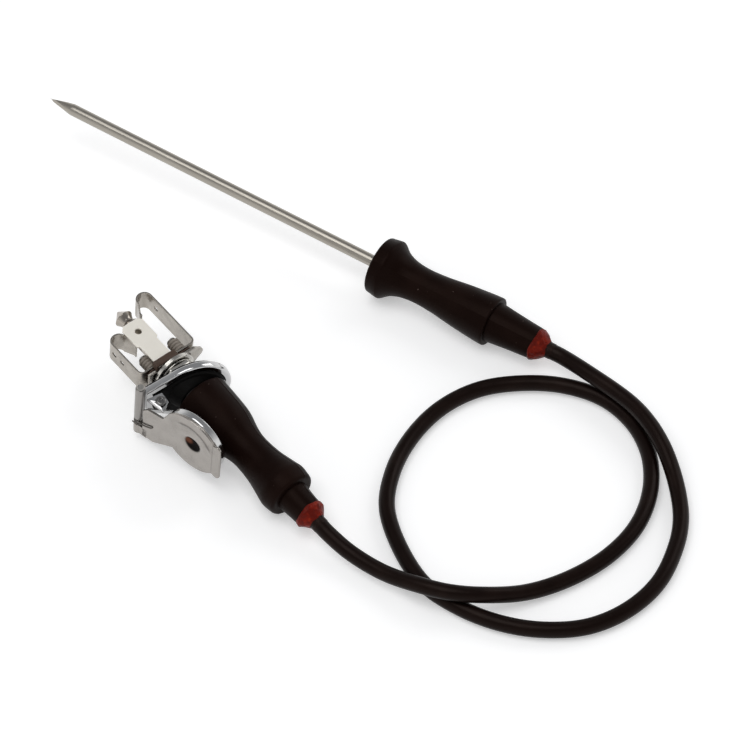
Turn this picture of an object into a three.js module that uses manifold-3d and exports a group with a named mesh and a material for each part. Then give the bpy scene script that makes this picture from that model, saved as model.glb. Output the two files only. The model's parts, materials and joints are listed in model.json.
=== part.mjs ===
// A core-temperature probe for an oven: a steel needle in a silicone handle, a silicone cable, a jack plug in
// a second silicone handle, and the panel socket that the plug sits in, with its hinged lid and two contacts.
// Millimetres, +Z up. The object lies on the plane z = 0.
import * as THREE from "three";
import { mergeVertices } from "three/addons/utils/BufferGeometryUtils.js";
import Module from "manifold-3d";

const wasm = await Module();
wasm.setup();

// ---- Driving sizes -------------------------------------------------------------------------------------
const seat = 0.3; // gap left between two pieces that touch
const running = 0.35; // gap round a piece that slides or turns

// Middle of the box round the rigid pieces, in the frame that the placings and the cable's route are given in
const middle = { x: -21.57, y: 14.68 };

// Probe needle, a closed-end tube
const needleDiameter = 4;
const needleWall = 0.4;
const needleReach = 127.5; // from the handle's face to the tip
const needleTail = 20; // inside the handle
const needlePoint = 9; // length of the cone
const needleBlunt = 0.35; // radius left at the tip
const beadLength = 3.2;
const leadDiameter = 0.6;
const leadSpacing = 1.1;

// Cable
const cableDiameter = 5.2;
const coreDiameter = 1.2;

// Probe handle: stations are behind the probe's origin, radii from the axis
const handleFace = 2; // station of its front face
const rimFrontRadius = 9.7; // the rim keeps fingers off the hot needle
const flareRadius = 10.2; // at the rim's rear edge
const flareStation = 6.2;
const waistRadius = 6.05;
const waistStation = 19;
const shoulderRadius = 8.4;
const handleLength = 45.6;
const handleWall = 1.4; // silicone outside the strain relief's spigot
const sleeveFront = 6.85; // radius of the strain relief where it leaves the shoulder
const sleeveRear = 5.35;
const sleeveLength = 16;
const spigotLength = 9;
const sealantLength = 5.4;
const sealantFoot = 4.7; // radius of the bead at the sleeve
const sealantLip = 3.5; // radius where it feathers out on the cable
const crimpWall = 0.8;
const crimpReach = 9; // over the cable's jacket

// Plug handle: stations are in front of the middle of the lid bezel, measured along the jack
const gripStart = 4.3;
const gripLength = 46.2;
const gripFrontRadius = 9.5;
const gripWaistRadius = 6.35;
const gripWaistStation = 29;
const gripRearRadius = 8.6;
const gripRearStation = 45.6;
const gripSleeveFront = 5.55;
const gripSleeveRear = 4.9;
const gripSleeveLength = 8;

// Jack plug, the 6.35 mm pattern
const jackDiameter = 6.35;
const jackTipStation = -38; // apex of the cone
const jackConeLength = 3.2;
const jackNeckRadius = 2.2;
const jackHeadLength = 8.2; // cone, neck and collar together
const ringLength = 1;
const rodDiameter = 1.8;
const linerWall = 0.7;
const shankTail = 9; // how far the shank reaches into the handle

// Panel socket: stations along the jack, negative behind the bezel
const bushingDiameter = 9.4;
const bushingFront = 3.95;
const bushingShoulder = 15; // diameter
const dressNutDiameter = 12.8;
const dressNutThickness = 1;
const lockNutFlats = 12;
const lockNutStation = -5.6;
const lockNutThickness = 1.6;
const washerThickness = 0.4;
const shoulderThickness = 1.5;
const shoulderHole = 1.4; // radial hole for a pin spanner
const framePlateThickness = 1;
const waferThickness = 0.4;
const framePlateLeft = 9.2;
const framePlateRight = 12.7;
const framePlateHalf = 3.8;
const waferHalfWidth = 8.4;
const waferHalfHeight = 3.8;
const bladeThickness = 0.6;
const bladeWidth = 8;
const bladeSpread = 11.2; // from the jack's axis to the outer leg's outer face
const bladeFootEnd = 3.6;
const bladeSlotWidth = 1.4;
const bladeSlotLength = 1.9;
const contactTaper = 8; // degrees on each side of the tip contact's inner leg
const hairpinRadius = 2.6;
const tipBladeReach = 37.6; // station of each hairpin's top, behind the bezel
const sleeveBladeReach = 29.6;
const rivetOffset = 5.7;
const rivetShank = 1.8;
const rivetRise = 1.8; // above the jack's axis
const rivetHead = 3.2;
const rivetHeadHeight = 0.8;
const rivetFlush = 0.3; // thickness of the head that is sunk in the frame plate
const rivetBush = 4.2; // diameter
const rivetBushLength = 4.4;
const tabNeckWidth = 6.6;
const tabBladeWidth = 8.2;
const tabBladeLength = 9;
const tabThickness = 0.8;
const tabReach = 29.4;
const tabHeight = 5.4; // its middle plane above the jack's axis
const tabOffset = -2;
const tabHole = 2.3;
const tabBlockWall = 0.6; // over and under the tab
const tabBlockDepth = 2.4;

// Lid bezel, which leans on the bushing
const bezelLean = 20; // degrees about the upright line through the jack's axis
const bezelRadius = 12.6; // of its round end
const bezelThrow = 1; // middle of the round end from the jack's axis, away from the hinge
const bezelDrop = 1.1; // and below it
const bezelThickness = 2.6;
const bezelTail = 15.2; // from the jack's axis to the tail's straight end
const bezelTailHalf = 5.4;
const bezelEdge = 0.7; // rounding
const bezelHoleDiameter = 11.6;
const gasketThickness = 1;
const gasketInset = 1.8;
const gasketMargin = 2.9; // from the bezel's hole to the gasket's
const gasketShift = -1.5; // of its hole, toward the side where the leaning bezel nears the lock nut
const sealInset = 2.2; // face seal, a rubber cone between the bezel's face and the dress nut
const sealEdge = 0.3;
const sealNeck = 6.2; // its radius under the dress nut

// Hinge and lid. The lid's own frame has its origin on the hinge line and lies flat along +X.
const hingeOffset = 18.2; // hinge line from the middle of the bezel
const hingeProud = 2.4; // hinge line in front of the bezel's face
const hingeTop = 12;
const knuckleRadius = 1.65;
const pinDiameter = 1.5;
const bezelKnuckle = 15.6; // length of the upper knuckle
const springGap = 2.9; // between the knuckles
const lidKnuckle = 4.2;
const lidAngle = 80; // from the plane square to the jack
const lidRadius = 11.8;
const lidCentre = 22.2; // from the hinge line
const lidRise = 4.4; // middle of the disc above the jack's axis
const lidFace = 1.1; // outer face above the hinge line
const lidShell = 0.8;
const lidCupRadius = 11.3;
const lidCupDepth = 2.5;
const lidSealRadius = 9.9;
const lidTabWidth = 15;
const lidTabEnd = 34.4; // from the hinge line
const lidEarHeight = 7.2; // underside of the ear above the jack's axis
const springWire = 0.5;
const springRadius = 1.4;
const springTurns = 2;
const springPitch = 0.95;

// Placing, in the frame of the route: where each assembly stands and which way its axis points on the floor
const probePlace = { x: 2.9, y: 35.1, azimuth: 148.1 };
const plugPlace = { x: -55.0, y: -21.9, azimuth: -49.9 };

// Route of the cable between its two glands, a list chosen by hand: [x, y, height of its middle]
const cableRoute = [
  [70.4, -9.1, 7.9],
  [84.3, -22.3, 8.0],
  [90.1, -30.8, 7.9],
  [94.1, -39.1, 6.8],
  [96.8, -47.1, 4.7],
  [98.5, -56.4, 3.3],
  [98.8, -65.5, 2.8],
  [96.9, -75.7, 2.7],
  [90.8, -90.0, 2.7],
  [81.0, -100.5, 2.7],
  [68.8, -106.9, 2.7],
  [55.3, -108.3, 2.7],
  [41.8, -105.8, 2.7],
  [28.6, -99.4, 2.7],
  [17.2, -89.2, 2.7],
  [7.1, -63.0, 2.7],
  [8.6, -46.9, 2.7],
  [14.8, -32.2, 2.7],
  [24.3, -20.2, 2.7],
  [36.2, -12.6, 2.7],
  [49.7, -9.9, 2.7],
  [63.6, -10.9, 2.7],
  [76.0, -16.2, 2.7],
  [84.9, -25.9, 2.7],
  [89.7, -38.6, 2.7],
  [89.8, -53.2, 2.7],
  [85.1, -67.5, 2.7],
  [75.9, -79.4, 2.7],
  [63.1, -88.6, 2.7],
  [49.4, -94.7, 3.7],
  [35.3, -98.1, 7.0],
  [25.8, -97.8, 8.0],
  [17.5, -94.7, 7.2],
  [6.0, -87.8, 4.6],
  [-4.7, -79.6, 4.4],
];
const cableSides = 10;
const cableSteps = 56;

// Sides of the turned pieces
const large = 28;
const medium = 20;
const small = 12;

// ---- Finishes ------------------------------------------------------------------------------------------
const finish = (color, roughness, metalness) =>
  new THREE.MeshStandardMaterial({ color, roughness, metalness });
const steel = finish(0xa8a39c, 0.3, 1);
const chrome = finish(0xd8d8d8, 0.08, 1);
const nickel = finish(0xd9d4c8, 0.25, 1);
const silicone = finish(0x1c100d, 0.55, 0);
const cableSkin = finish(0x150d0c, 0.5, 0);
const sealant = finish(0x8a1c12, 0.45, 0);
const phenolic = finish(0x3a261b, 0.6, 0);
const fibre = finish(0x8d8478, 0.6, 0);
const rubber = finish(0x101010, 0.8, 0);
const plastic = finish(0x0c0c0c, 0.4, 0);
const copper = finish(0xb87333, 0.4, 1);
const ceramic = finish(0xb7ab98, 0.7, 0);

// ---- Solids --------------------------------------------------------------------------------------------
function solidOf(geometry) {
  const bare = geometry.index ? geometry.toNonIndexed() : geometry.clone();
  bare.deleteAttribute("normal");
  bare.deleteAttribute("uv");
  const merged = mergeVertices(bare, 1e-4);
  return new wasm.Manifold(
    new wasm.Mesh({
      numProp: 3,
      vertProperties: merged.attributes.position.array,
      triVerts: new Uint32Array(merged.index.array),
    }),
  );
}

function geometryOf(solid) {
  const mesh = solid.getMesh();
  const geometry = new THREE.BufferGeometry();
  geometry.setAttribute("position", new THREE.BufferAttribute(mesh.vertProperties, 3));
  geometry.setIndex(new THREE.BufferAttribute(mesh.triVerts, 1));
  geometry.computeVertexNormals();
  return geometry;
}

const cut = (body, ...tools) =>
  geometryOf(tools.reduce((left, tool) => left.subtract(solidOf(tool)), solidOf(body)));
const join = (...bodies) => geometryOf(bodies.map(solidOf).reduce((sum, body) => sum.add(body)));

// A piece turned about Z from its half section, [radius, station] points that close on the axis or on
// themselves
function turned(section, sides = medium) {
  let area = 0;
  section.forEach(([r, z], i) => {
    const [r2, z2] = section[(i + 1) % section.length];
    area += r * z2 - r2 * z;
  });
  const points = (area > 0 ? section : [...section].reverse()).map(([r, z]) => new THREE.Vector2(r, z));
  const onAxis = points[0].x === 0 && points.at(-1).x === 0;
  if (!onAxis) points.push(points[0].clone());
  return new THREE.LatheGeometry(points, sides).rotateX(Math.PI / 2);
}

// A tube or a rod between two stations on Z
const tube = (outer, inner, from, to, sides = medium) =>
  turned([[inner, from], [outer, from], [outer, to], [inner, to]], sides);
const rod = (radius, from, to, sides = small) =>
  turned([[0, from], [radius, from], [radius, to], [0, to]], sides);

// Points of a smooth line through the given ones
const smooth = (points, steps) =>
  new THREE.SplineCurve(points.map(([x, y]) => new THREE.Vector2(x, y))).getPoints(steps)
    .map((p) => [p.x, p.y]);

// Points of an arc, angles in degrees
function arc(x, y, radius, from, to, steps) {
  return Array.from({ length: steps + 1 }, (_, i) => {
    const angle = THREE.MathUtils.degToRad(from + ((to - from) * i) / steps);
    return [x + radius * Math.cos(angle), y + radius * Math.sin(angle)];
  });
}

const outline = (points) => new THREE.Shape(points.map(([x, y]) => new THREE.Vector2(x, y)));

// A plate with a flat outline in XY, its top face at the given height
function plate(points, top, thickness, edge = 0) {
  const options = edge
    ? { depth: thickness - 2 * edge, bevelThickness: edge, bevelSize: edge, bevelOffset: -edge,
      bevelSegments: 3 }
    : { depth: thickness, bevelEnabled: false };
  return new THREE.ExtrudeGeometry(outline(points), options).translate(0, 0, top - thickness + edge);
}

// The same with its outline in XZ, standing on edge across Y
const standing = (points, width, y = 0) =>
  new THREE.ExtrudeGeometry(outline(points), { depth: width, bevelEnabled: false })
    .rotateX(Math.PI / 2)
    .translate(0, y + width / 2, 0);

const block = (width, height, depth, x, y, z) =>
  new THREE.BoxGeometry(width, height, depth).translate(x, y, z);

// Outline of a strip of the given thickness that follows a line
function strip(line, thickness) {
  const side = (sign) =>
    line.map(([x, y], i) => {
      const [x0, y0] = line[Math.max(i - 1, 0)];
      const [x1, y1] = line[Math.min(i + 1, line.length - 1)];
      const length = Math.hypot(x1 - x0, y1 - y0);
      return [x - (sign * thickness * (y1 - y0)) / (2 * length),
        y + (sign * thickness * (x1 - x0)) / (2 * length)];
    });
  return [...side(1), ...side(-1).reverse()];
}

const rectangle = (left, right, low, high) => [[left, low], [right, low], [right, high], [left, high]];

function piece(group, name, geometry, material) {
  const mesh = new THREE.Mesh(geometry, material);
  mesh.name = name;
  group.add(mesh);
}

// ---- Assemblies and how they lie -----------------------------------------------------------------------
const whole = new THREE.Group();
whole.position.set(-middle.x, -middle.y, 0);

// Turns a group so that its +Z points along the azimuth and up by the rise, with its X level
function aim(group, azimuth, rise) {
  const turn = THREE.MathUtils.degToRad(azimuth);
  const z = new THREE.Vector3(Math.cos(rise) * Math.cos(turn), Math.cos(rise) * Math.sin(turn),
    Math.sin(rise));
  const x = new THREE.Vector3(0, 0, 1).cross(z).normalize();
  group.quaternion.setFromRotationMatrix(new THREE.Matrix4().makeBasis(x, z.clone().cross(x), z));
}

// Lowers a group until it just stands on the floor
function stand(group) {
  group.updateMatrixWorld(true);
  group.position.z -= new THREE.Box3().setFromObject(group, true).min.z;
}

// ---- Probe: +Z points along the needle, z = 0 just in front of the handle ------------------------------
const probe = new THREE.Group();
const probeRise = Math.atan((flareRadius - shoulderRadius) / (handleLength - flareStation - 2));
aim(probe, probePlace.azimuth, probeRise);
probe.position.set(probePlace.x, probePlace.y, 0);
whole.add(probe);

const needleRadius = needleDiameter / 2;
const needleBore = needleRadius - needleWall;
const cableRadius = cableDiameter / 2;
const stubBore = cableRadius + seat;

function addNeedle() {
  const coneFoot = needleReach - needlePoint;
  piece(probe, "needle_tube", turned([
    [needleBore, -needleTail], [needleRadius, -needleTail], [needleRadius, coneFoot],
    [needleBlunt, needleReach - 0.3], [0, needleReach], [0, coneFoot - 1], [needleBore, coneFoot - 1.6],
  ], medium), steel);
}

const beadRadius = needleBore - seat;
const beadRear = needleReach - needlePoint - 2 - beadLength;
function addSensor() {
  const bead = smooth([
    [0, beadRear], [beadRadius * 0.8, beadRear + beadLength * 0.2], [beadRadius, beadRear + beadLength / 2],
    [beadRadius * 0.8, beadRear + beadLength * 0.8], [0, beadRear + beadLength],
  ], 8);
  bead[0][0] = 0;
  bead.at(-1)[0] = 0;
  piece(probe, "thermistor_bead", turned(bead, small), ceramic);
  for (const [name, sign] of [["sensor_lead_a", 1], ["sensor_lead_b", -1]]) {
    const lead = rod(leadDiameter / 2, stubFront + seat, beadRear - 0.1, 6);
    piece(probe, name, lead.translate(0, (sign * leadSpacing) / 2, 0), copper);
  }
}

const cavity = stubBore + crimpWall + 1.1; // radius of the hollow in both handles
const crimpFront = -needleTail + 6;
const stubFront = -needleTail - 2; // where the cable stub's front face lies

function handleOuter() {
  const edge = 0.9;
  return [
    ...arc(rimFrontRadius - edge, -handleFace - edge, edge, 90, 10, 4),
    [flareRadius - 0.05, -flareStation + 0.4], [flareRadius, -flareStation],
    [flareRadius - 0.15, -flareStation - 0.5],
    ...smooth([
      [flareRadius - 0.5, -7.1], [8.1, -9.3], [7.05, -11.6], [waistRadius + 0.3, -14.6],
      [waistRadius, -waistStation], [waistRadius + 0.4, -25.5], [waistRadius + 1.4, -33.5],
      [shoulderRadius - 0.1, -handleLength + 3], [shoulderRadius, -handleLength + 0.9],
    ], 14),
    [shoulderRadius - 0.5, -handleLength],
  ];
}

function addHandle() {
  const tight = needleRadius + seat;
  const mouth = sleeveFront - handleWall;
  piece(probe, "probe_handle", turned([
    ...handleOuter(), [mouth, -handleLength], [mouth, -handleLength + spigotLength + seat],
    [cavity, -handleLength + spigotLength + seat], [cavity, crimpFront + seat + 0.4],
    [tight, crimpFront + seat + 0.4], [tight, -handleFace],
  ], large), silicone);
}

// The strain relief of a handle that ends at the station `rear`, pointing along `way` (-1 probe, +1 plug)
function reliefSleeve(rear, way, front, back, length) {
  const face = rear + way * seat;
  const spigot = sleeveFront - handleWall - seat;
  return turned([
    [stubBore, rear - way * spigotLength], [spigot, rear - way * spigotLength], [spigot, face], [front, face],
    [front - 0.15, face + way * 1], [back + 0.2, face + way * (length - 1)], [back, face + way * length],
    [stubBore, face + way * length],
  ], large);
}

// A bead of sealant round the cable, seated on the sleeve's end
function sealantBead(start, way, foot) {
  const at = (share) => start + way * sealantLength * share;
  return turned([
    [stubBore, at(0)], [foot - 0.3, at(0)], [foot, at(0.12)], [foot - 0.25, at(0.4)],
    [(foot + sealantLip) / 2 - 0.1, at(0.7)], [sealantLip, at(1)], [stubBore, at(1)],
  ], medium);
}

const probeSleeveEnd = -handleLength - seat - sleeveLength;
const probeExit = probeSleeveEnd - seat - sealantLength;

function addProbeGland() {
  piece(probe, "probe_sleeve", reliefSleeve(-handleLength, -1, sleeveFront, sleeveRear, sleeveLength),
    silicone);
  piece(probe, "probe_sealant", sealantBead(probeSleeveEnd - seat, -1, sealantFoot), sealant);
  piece(probe, "probe_cable_end", rod(cableRadius, stubFront, probeExit, cableSides), cableSkin);
  const overNeedle = needleRadius + seat;
  piece(probe, "needle_crimp", turned([
    [overNeedle, crimpFront], [overNeedle + crimpWall, crimpFront],
    [overNeedle + crimpWall, -needleTail - 0.6],
    [stubBore + crimpWall, stubFront], [stubBore + crimpWall, stubFront - crimpReach],
    [stubBore, stubFront - crimpReach],
    [stubBore, stubFront + 0.6], [overNeedle, -needleTail - 0.4],
  ], medium), steel);
}

addNeedle();
addSensor();
addHandle();
addProbeGland();
stand(probe);

// ---- Plug and socket: +Z points from the jack to the plug's handle, +X from the hinge to the bezel's round
// end, +Y up, and z = 0 at the middle of the bezel's face --------------------------------------------------
const line = new THREE.Group();
const lineRise = -Math.atan((bezelRadius + bezelDrop - gripRearRadius) / gripRearStation);
aim(line, plugPlace.azimuth, lineRise);
line.position.set(plugPlace.x, plugPlace.y, 0);
whole.add(line);

const jackRadius = jackDiameter / 2;
const jackBore = jackRadius + seat;
const gripRear = gripStart + gripLength;
const shankRear = gripStart + shankTail;
const plugStubFront = shankRear + 12;

function gripOuter() {
  return [
    [gripFrontRadius - 1.1, gripStart],
    ...arc(gripFrontRadius - 1, gripStart + 1, 1, -70, -10, 3),
    ...smooth([
      [gripFrontRadius, gripStart + 1.3], [gripFrontRadius - 0.2, 10.7], [gripFrontRadius - 0.9, 19.2],
      [gripWaistRadius + 0.6, 25.2], [gripWaistRadius, gripWaistStation], [gripWaistRadius + 0.4, 36.2],
      [gripRearRadius - 0.6, 42.6], [gripRearRadius, gripRearStation],
      [gripRearRadius - 0.25, gripRear - 1.4],
    ], 14),
    [gripRearRadius - 0.9, gripRear - 0.4],
    [gripRearRadius - 1.5, gripRear],
  ];
}

function addGrip() {
  const mouth = sleeveFront - handleWall;
  piece(line, "plug_handle", turned([
    ...gripOuter(), [mouth, gripRear], [mouth, gripRear - spigotLength - seat],
    [cavity, gripRear - spigotLength - seat],
    [cavity, shankRear - 2], [jackBore, shankRear - 2], [jackBore, gripStart],
  ], large), silicone);
}

const plugSleeveEnd = gripRear + seat + gripSleeveLength;
const plugExit = plugSleeveEnd + seat + sealantLength;

function addPlugGland() {
  const sleeve = reliefSleeve(gripRear, 1, gripSleeveFront, gripSleeveRear, gripSleeveLength);
  piece(line, "plug_sleeve", sleeve, silicone);
  piece(line, "plug_sealant", sealantBead(plugSleeveEnd + seat, 1, sealantFoot), sealant);
  piece(line, "plug_cable_end", rod(cableRadius, plugStubFront, plugExit, cableSides), cableSkin);
}

const rodRadius = rodDiameter / 2;
const linerRadius = rodRadius + seat + linerWall;
const headRear = jackTipStation + jackHeadLength;
const ringFront = headRear + seat;
const shankFront = ringFront + ringLength + seat;
const rodRear = shankRear + 3;

function addPlug() {
  const tipLine = (back, r) => [r, jackTipStation + back];
  piece(line, "jack_tip", turned([
    [0, jackTipStation], tipLine(jackConeLength - 0.3, jackRadius - 0.25),
    tipLine(jackConeLength, jackRadius),
    tipLine(jackConeLength + 0.4, jackRadius - 0.1), tipLine(jackConeLength + 2.2, jackNeckRadius),
    tipLine(jackConeLength + 2.7, jackNeckRadius), tipLine(jackHeadLength - 1.4, jackRadius),
    tipLine(jackHeadLength, jackRadius), tipLine(jackHeadLength, rodRadius), [rodRadius, rodRear],
    [0, rodRear],
  ], medium), nickel);
  const linerBore = rodRadius + seat;
  piece(line, "jack_insulator", turned([
    [linerBore, ringFront], [jackRadius, ringFront], [jackRadius, ringFront + ringLength],
    [linerRadius, ringFront + ringLength], [linerRadius, shankRear + 1.6], [linerBore, shankRear + 1.6],
  ], medium), plastic);
  const bore = linerRadius + seat;
  piece(line, "jack_shank", turned([
    [bore, shankFront], [jackRadius, shankFront], [jackRadius, shankRear - 1.2],
    [cavity - 1, shankRear - 1.2],
    [cavity - 1, shankRear], [bore, shankRear],
  ], medium), nickel);
}

function addPlugWiring() {
  const lugThickness = 0.5;
  const tipLug = block(2.4, lugThickness, 5, 0, 0, rodRear + seat + 2.5);
  piece(line, "tip_lug", tipLug, nickel);
  const lugY = cavity - 2.1;
  piece(line, "sleeve_lug", block(2.8, lugThickness, 8, 0, lugY, shankRear + seat + 4), nickel);
  const coreRadius = coreDiameter / 2;
  const tipCore = rod(coreRadius, rodRear + 5 + 2 * seat, plugStubFront - seat, 6);
  piece(line, "tip_core", tipCore, copper);
  const sleeveCore = rod(coreRadius, shankRear + 8 + 2 * seat, plugStubFront - seat, 6);
  piece(line, "sleeve_core", sleeveCore.translate(0, cableRadius - coreRadius, 0), copper);
}

// Threaded bushing, nuts and the stack of wafers behind it
const bushingRadius = bushingDiameter / 2;
const bushingBore = jackRadius + running;
const lockNutRear = lockNutStation - lockNutThickness;
const washerFront = lockNutRear - seat;
const shoulderFront = washerFront - washerThickness - seat;
const framePlate = shoulderFront - shoulderThickness - seat;
const rearWafer = framePlate - framePlateThickness - seat;
const footFront = rearWafer - waferThickness - seat;
const footRear = footFront - bladeThickness;

function addBushing() {
  const shoulderRadius = bushingShoulder / 2;
  const body = turned([
    [bushingBore, bushingFront], [bushingRadius, bushingFront], [bushingRadius, shoulderFront],
    [shoulderRadius, shoulderFront], [shoulderRadius, shoulderFront - shoulderThickness],
    [bushingBore, shoulderFront - shoulderThickness],
  ], medium);
  const spanner = rod(shoulderHole / 2, shoulderRadius - 1.5, shoulderRadius + 1, 8)
    .rotateX(-Math.PI / 2)
    .rotateZ(THREE.MathUtils.degToRad(-30))
    .translate(0, 0, shoulderFront - shoulderThickness / 2);
  piece(line, "jack_bushing", cut(body, spanner), nickel);
  const onThread = bushingRadius + seat;
  const dressNut = tube(dressNutDiameter / 2, onThread, bushingFront - dressNutThickness, bushingFront);
  piece(line, "dress_nut", dressNut, nickel);
  const corner = lockNutFlats / Math.sqrt(3);
  const hexagon = arc(0, 0, corner, 0, 300, 5);
  const nut = plate(hexagon, lockNutStation, lockNutThickness);
  piece(line, "lock_nut", cut(nut, rod(onThread, lockNutRear - 1, lockNutStation + 1, medium)), nickel);
  const washer = tube(dressNutDiameter / 2, onThread, washerFront - washerThickness, washerFront);
  piece(line, "lock_washer", washer, steel);
}

// Outline of a wafer, with rounded corners
function waferOutline() {
  const corner = 1.2;
  const x = waferHalfWidth - corner;
  const y = waferHalfHeight - corner;
  return [
    ...arc(x, y, corner, 0, 90, 3), ...arc(-x, y, corner, 90, 180, 3),
    ...arc(-x, -y, corner, 180, 270, 3), ...arc(x, -y, corner, 270, 360, 3),
  ];
}

// Outline of the frame plate: square at its left end, drawn in to a round nose at its right end
function frameOutline() {
  const noseRadius = 2;
  const shoulder = framePlateRight - 3.4;
  return [
    [-framePlateLeft, -framePlateHalf], [shoulder, -framePlateHalf],
    ...arc(framePlateRight - noseRadius, 0, noseRadius, -40, 40, 4),
    [shoulder, framePlateHalf], [-framePlateLeft, framePlateHalf],
  ];
}

// A plate of the stack, with the jack's hole and the rivets' holes through it
function stackPlate(points, front, thickness, rivetHole) {
  const through = [front - thickness - 1, front + 1];
  return cut(
    plate(points, front, thickness),
    rod(bushingBore, ...through, medium),
    rod(rivetHole, ...through).translate(rivetOffset, rivetRise, 0),
    rod(rivetHole, ...through).translate(-rivetOffset, rivetRise, 0),
  );
}

const rivetRadius = rivetShank / 2;
function addStack() {
  const sunk = (x) =>
    rod(rivetHead / 2 + seat, framePlate - rivetFlush - seat, framePlate + 1).translate(x, rivetRise, 0);
  const frame = stackPlate(frameOutline(), framePlate, framePlateThickness, rivetRadius + seat);
  piece(line, "jack_frame", cut(frame, sunk(rivetOffset), sunk(-rivetOffset)), nickel);
  piece(line, "rear_wafer", stackPlate(waferOutline(), rearWafer, waferThickness, rivetRadius + seat),
    phenolic);
  const bushFront = footRear - seat;
  const bushRear = bushFront - rivetBushLength;
  const headSeat = bushRear - seat;
  const head = rivetHead / 2;
  const full = rivetBush / 2;
  const groove = full - 0.35;
  const rib = rivetBushLength / 4;
  for (const [side, x] of [["right", rivetOffset], ["left", -rivetOffset]]) {
    const rivet = turned([
      [0, framePlate], [head, framePlate], [head, framePlate - rivetFlush],
      [rivetRadius, framePlate - rivetFlush],
      [rivetRadius, headSeat], [head, headSeat], [head - 0.3, headSeat - rivetHeadHeight],
      [0, headSeat - rivetHeadHeight],
    ], small);
    piece(line, `rivet_${side}`, rivet.translate(x, rivetRise, 0), steel);
    const bush = turned([
      [rivetRadius + seat, bushFront], [full, bushFront], [full, bushFront - rib],
      [groove, bushFront - rib * 1.4], [groove, bushRear + rib * 1.4],
      [full, bushRear + rib], [full, bushRear], [rivetRadius + seat, bushRear],
    ], small);
    piece(line, `rivet_bush_${side}`, bush.translate(x, rivetRise, 0), fibre);
  }
}

// A contact blade: a foot under its rivet, an outer leg, a hairpin, and a leg that comes in to the jack
function bladeSolid(side, reach, inwardEnd, inwardStation) {
  const middleLine = bladeSpread - bladeThickness / 2;
  const bend = 1.6;
  const foot = footFront - bladeThickness / 2;
  const top = -reach + hairpinRadius + bladeThickness / 2;
  const line2d = [
    [bladeFootEnd, foot],
    ...arc(middleLine - bend, foot - bend, bend, 90, 0, 5),
    ...arc(middleLine - hairpinRadius, top, hairpinRadius, 0, -180, 8),
    [inwardEnd + 0.9, inwardStation - 1.2],
    [inwardEnd, inwardStation],
    [inwardEnd + 0.35, inwardStation + 1.4],
  ];
  return standing(strip(line2d, bladeThickness).map(([x, z]) => [side * x, z]), bladeWidth);
}

const inwardEnd = jackRadius + running + bladeThickness;
const inwardReach = 6.2; // from a hairpin's top to the point where its inner leg is nearest to the jack
function addContacts() {
  const outer = bladeSpread - bladeThickness / 2;
  const inner = outer - 2 * hairpinRadius;
  const slot = (x, z) => block(bladeThickness * 4, bladeSlotWidth, bladeSlotLength, x, 0, z);
  const foot = (x) => rod(rivetRadius + seat, footRear - 1, footFront + 1).translate(x, rivetRise, 0);
  const legTop = -tipBladeReach + hairpinRadius + bladeThickness;
  const taper = (sign) => {
    const waste = standing(rectangle(0.5, inner + 0.9, 0, inwardReach + 2), bladeWidth,
      (sign * bladeWidth) / 2);
    return waste
      .translate(0, (sign * bladeWidth) / 2, 0)
      .rotateX((sign * contactTaper * Math.PI) / 180)
      .translate(0, 0, legTop);
  };
  const tipLeg = bladeSolid(1, tipBladeReach, inwardEnd, -tipBladeReach + inwardReach);
  piece(line, "tip_contact", cut(tipLeg, foot(rivetOffset), slot(outer, -tipBladeReach + 6), taper(1),
    taper(-1)),
    nickel);
  const sleeveLeg = bladeSolid(-1, sleeveBladeReach, inwardEnd, -sleeveBladeReach + inwardReach);
  const slots = [4.2, 8.2].map((below) => slot(-outer, -sleeveBladeReach + below));
  piece(line, "sleeve_contact", cut(sleeveLeg, foot(-rivetOffset), ...slots), nickel);
}

function addTab() {
  const half = tabThickness / 2;
  const blockFront = framePlate;
  const left = tabOffset - tabNeckWidth / 2;
  const right = tabOffset + tabNeckWidth / 2;
  const low = tabHeight - half - seat - tabBlockWall;
  const high = tabHeight + half + seat + tabBlockWall;
  const body = block(tabNeckWidth + 2, high - low, tabBlockDepth, tabOffset, (low + high) / 2,
    blockFront - tabBlockDepth / 2);
  const slot = block(tabNeckWidth + 2 * seat, tabThickness + 2 * seat, tabBlockDepth * 2, tabOffset,
    tabHeight, blockFront - tabBlockDepth / 2);
  piece(line, "tab_block", cut(body, slot), phenolic);
  const bladeLeft = tabOffset - tabBladeWidth / 2;
  const bladeRight = tabOffset + tabBladeWidth / 2;
  const step = -tabReach + tabBladeLength;
  const chamfer = 1.3;
  const points = [
    [left, blockFront - 0.2], [left, step + 0.6], [bladeLeft, step], [bladeLeft, -tabReach + chamfer],
    [bladeLeft + chamfer, -tabReach], [bladeRight - chamfer, -tabReach], [bladeRight, -tabReach + chamfer],
    [bladeRight, step], [right, step + 0.6], [right, blockFront - 0.2],
  ];
  const hole = rod(tabHole / 2, -2, 2, small).rotateX(Math.PI / 2).translate(tabOffset, tabHeight,
    -tabReach + 4.4);
  piece(line, "faston_tab", cut(standing(points, tabThickness, tabHeight), hole), nickel);
}

// ---- Bezel: +Z out of its front face, +X from the hinge to the round end --------------------------------
const bezel = new THREE.Group();
bezel.rotation.y = -THREE.MathUtils.degToRad(bezelLean);
line.add(bezel);

// Egg outline: a round end and two straight sides that run to the tail
function bezelOutline(inset) {
  const radius = bezelRadius - inset;
  const half = bezelTailHalf - inset;
  const tail = bezelTail + bezelThrow - inset * 0.4;
  const reach = Math.hypot(tail, half);
  const tangent = 180 - THREE.MathUtils.radToDeg(Math.atan2(half, tail) + Math.acos(radius / reach));
  const egg = [[-tail, -half], ...arc(0, 0, radius, -tangent, tangent, 28), [-tail, half]];
  return egg.map(([x, y]) => [x + bezelThrow, y - bezelDrop]);
}

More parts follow.
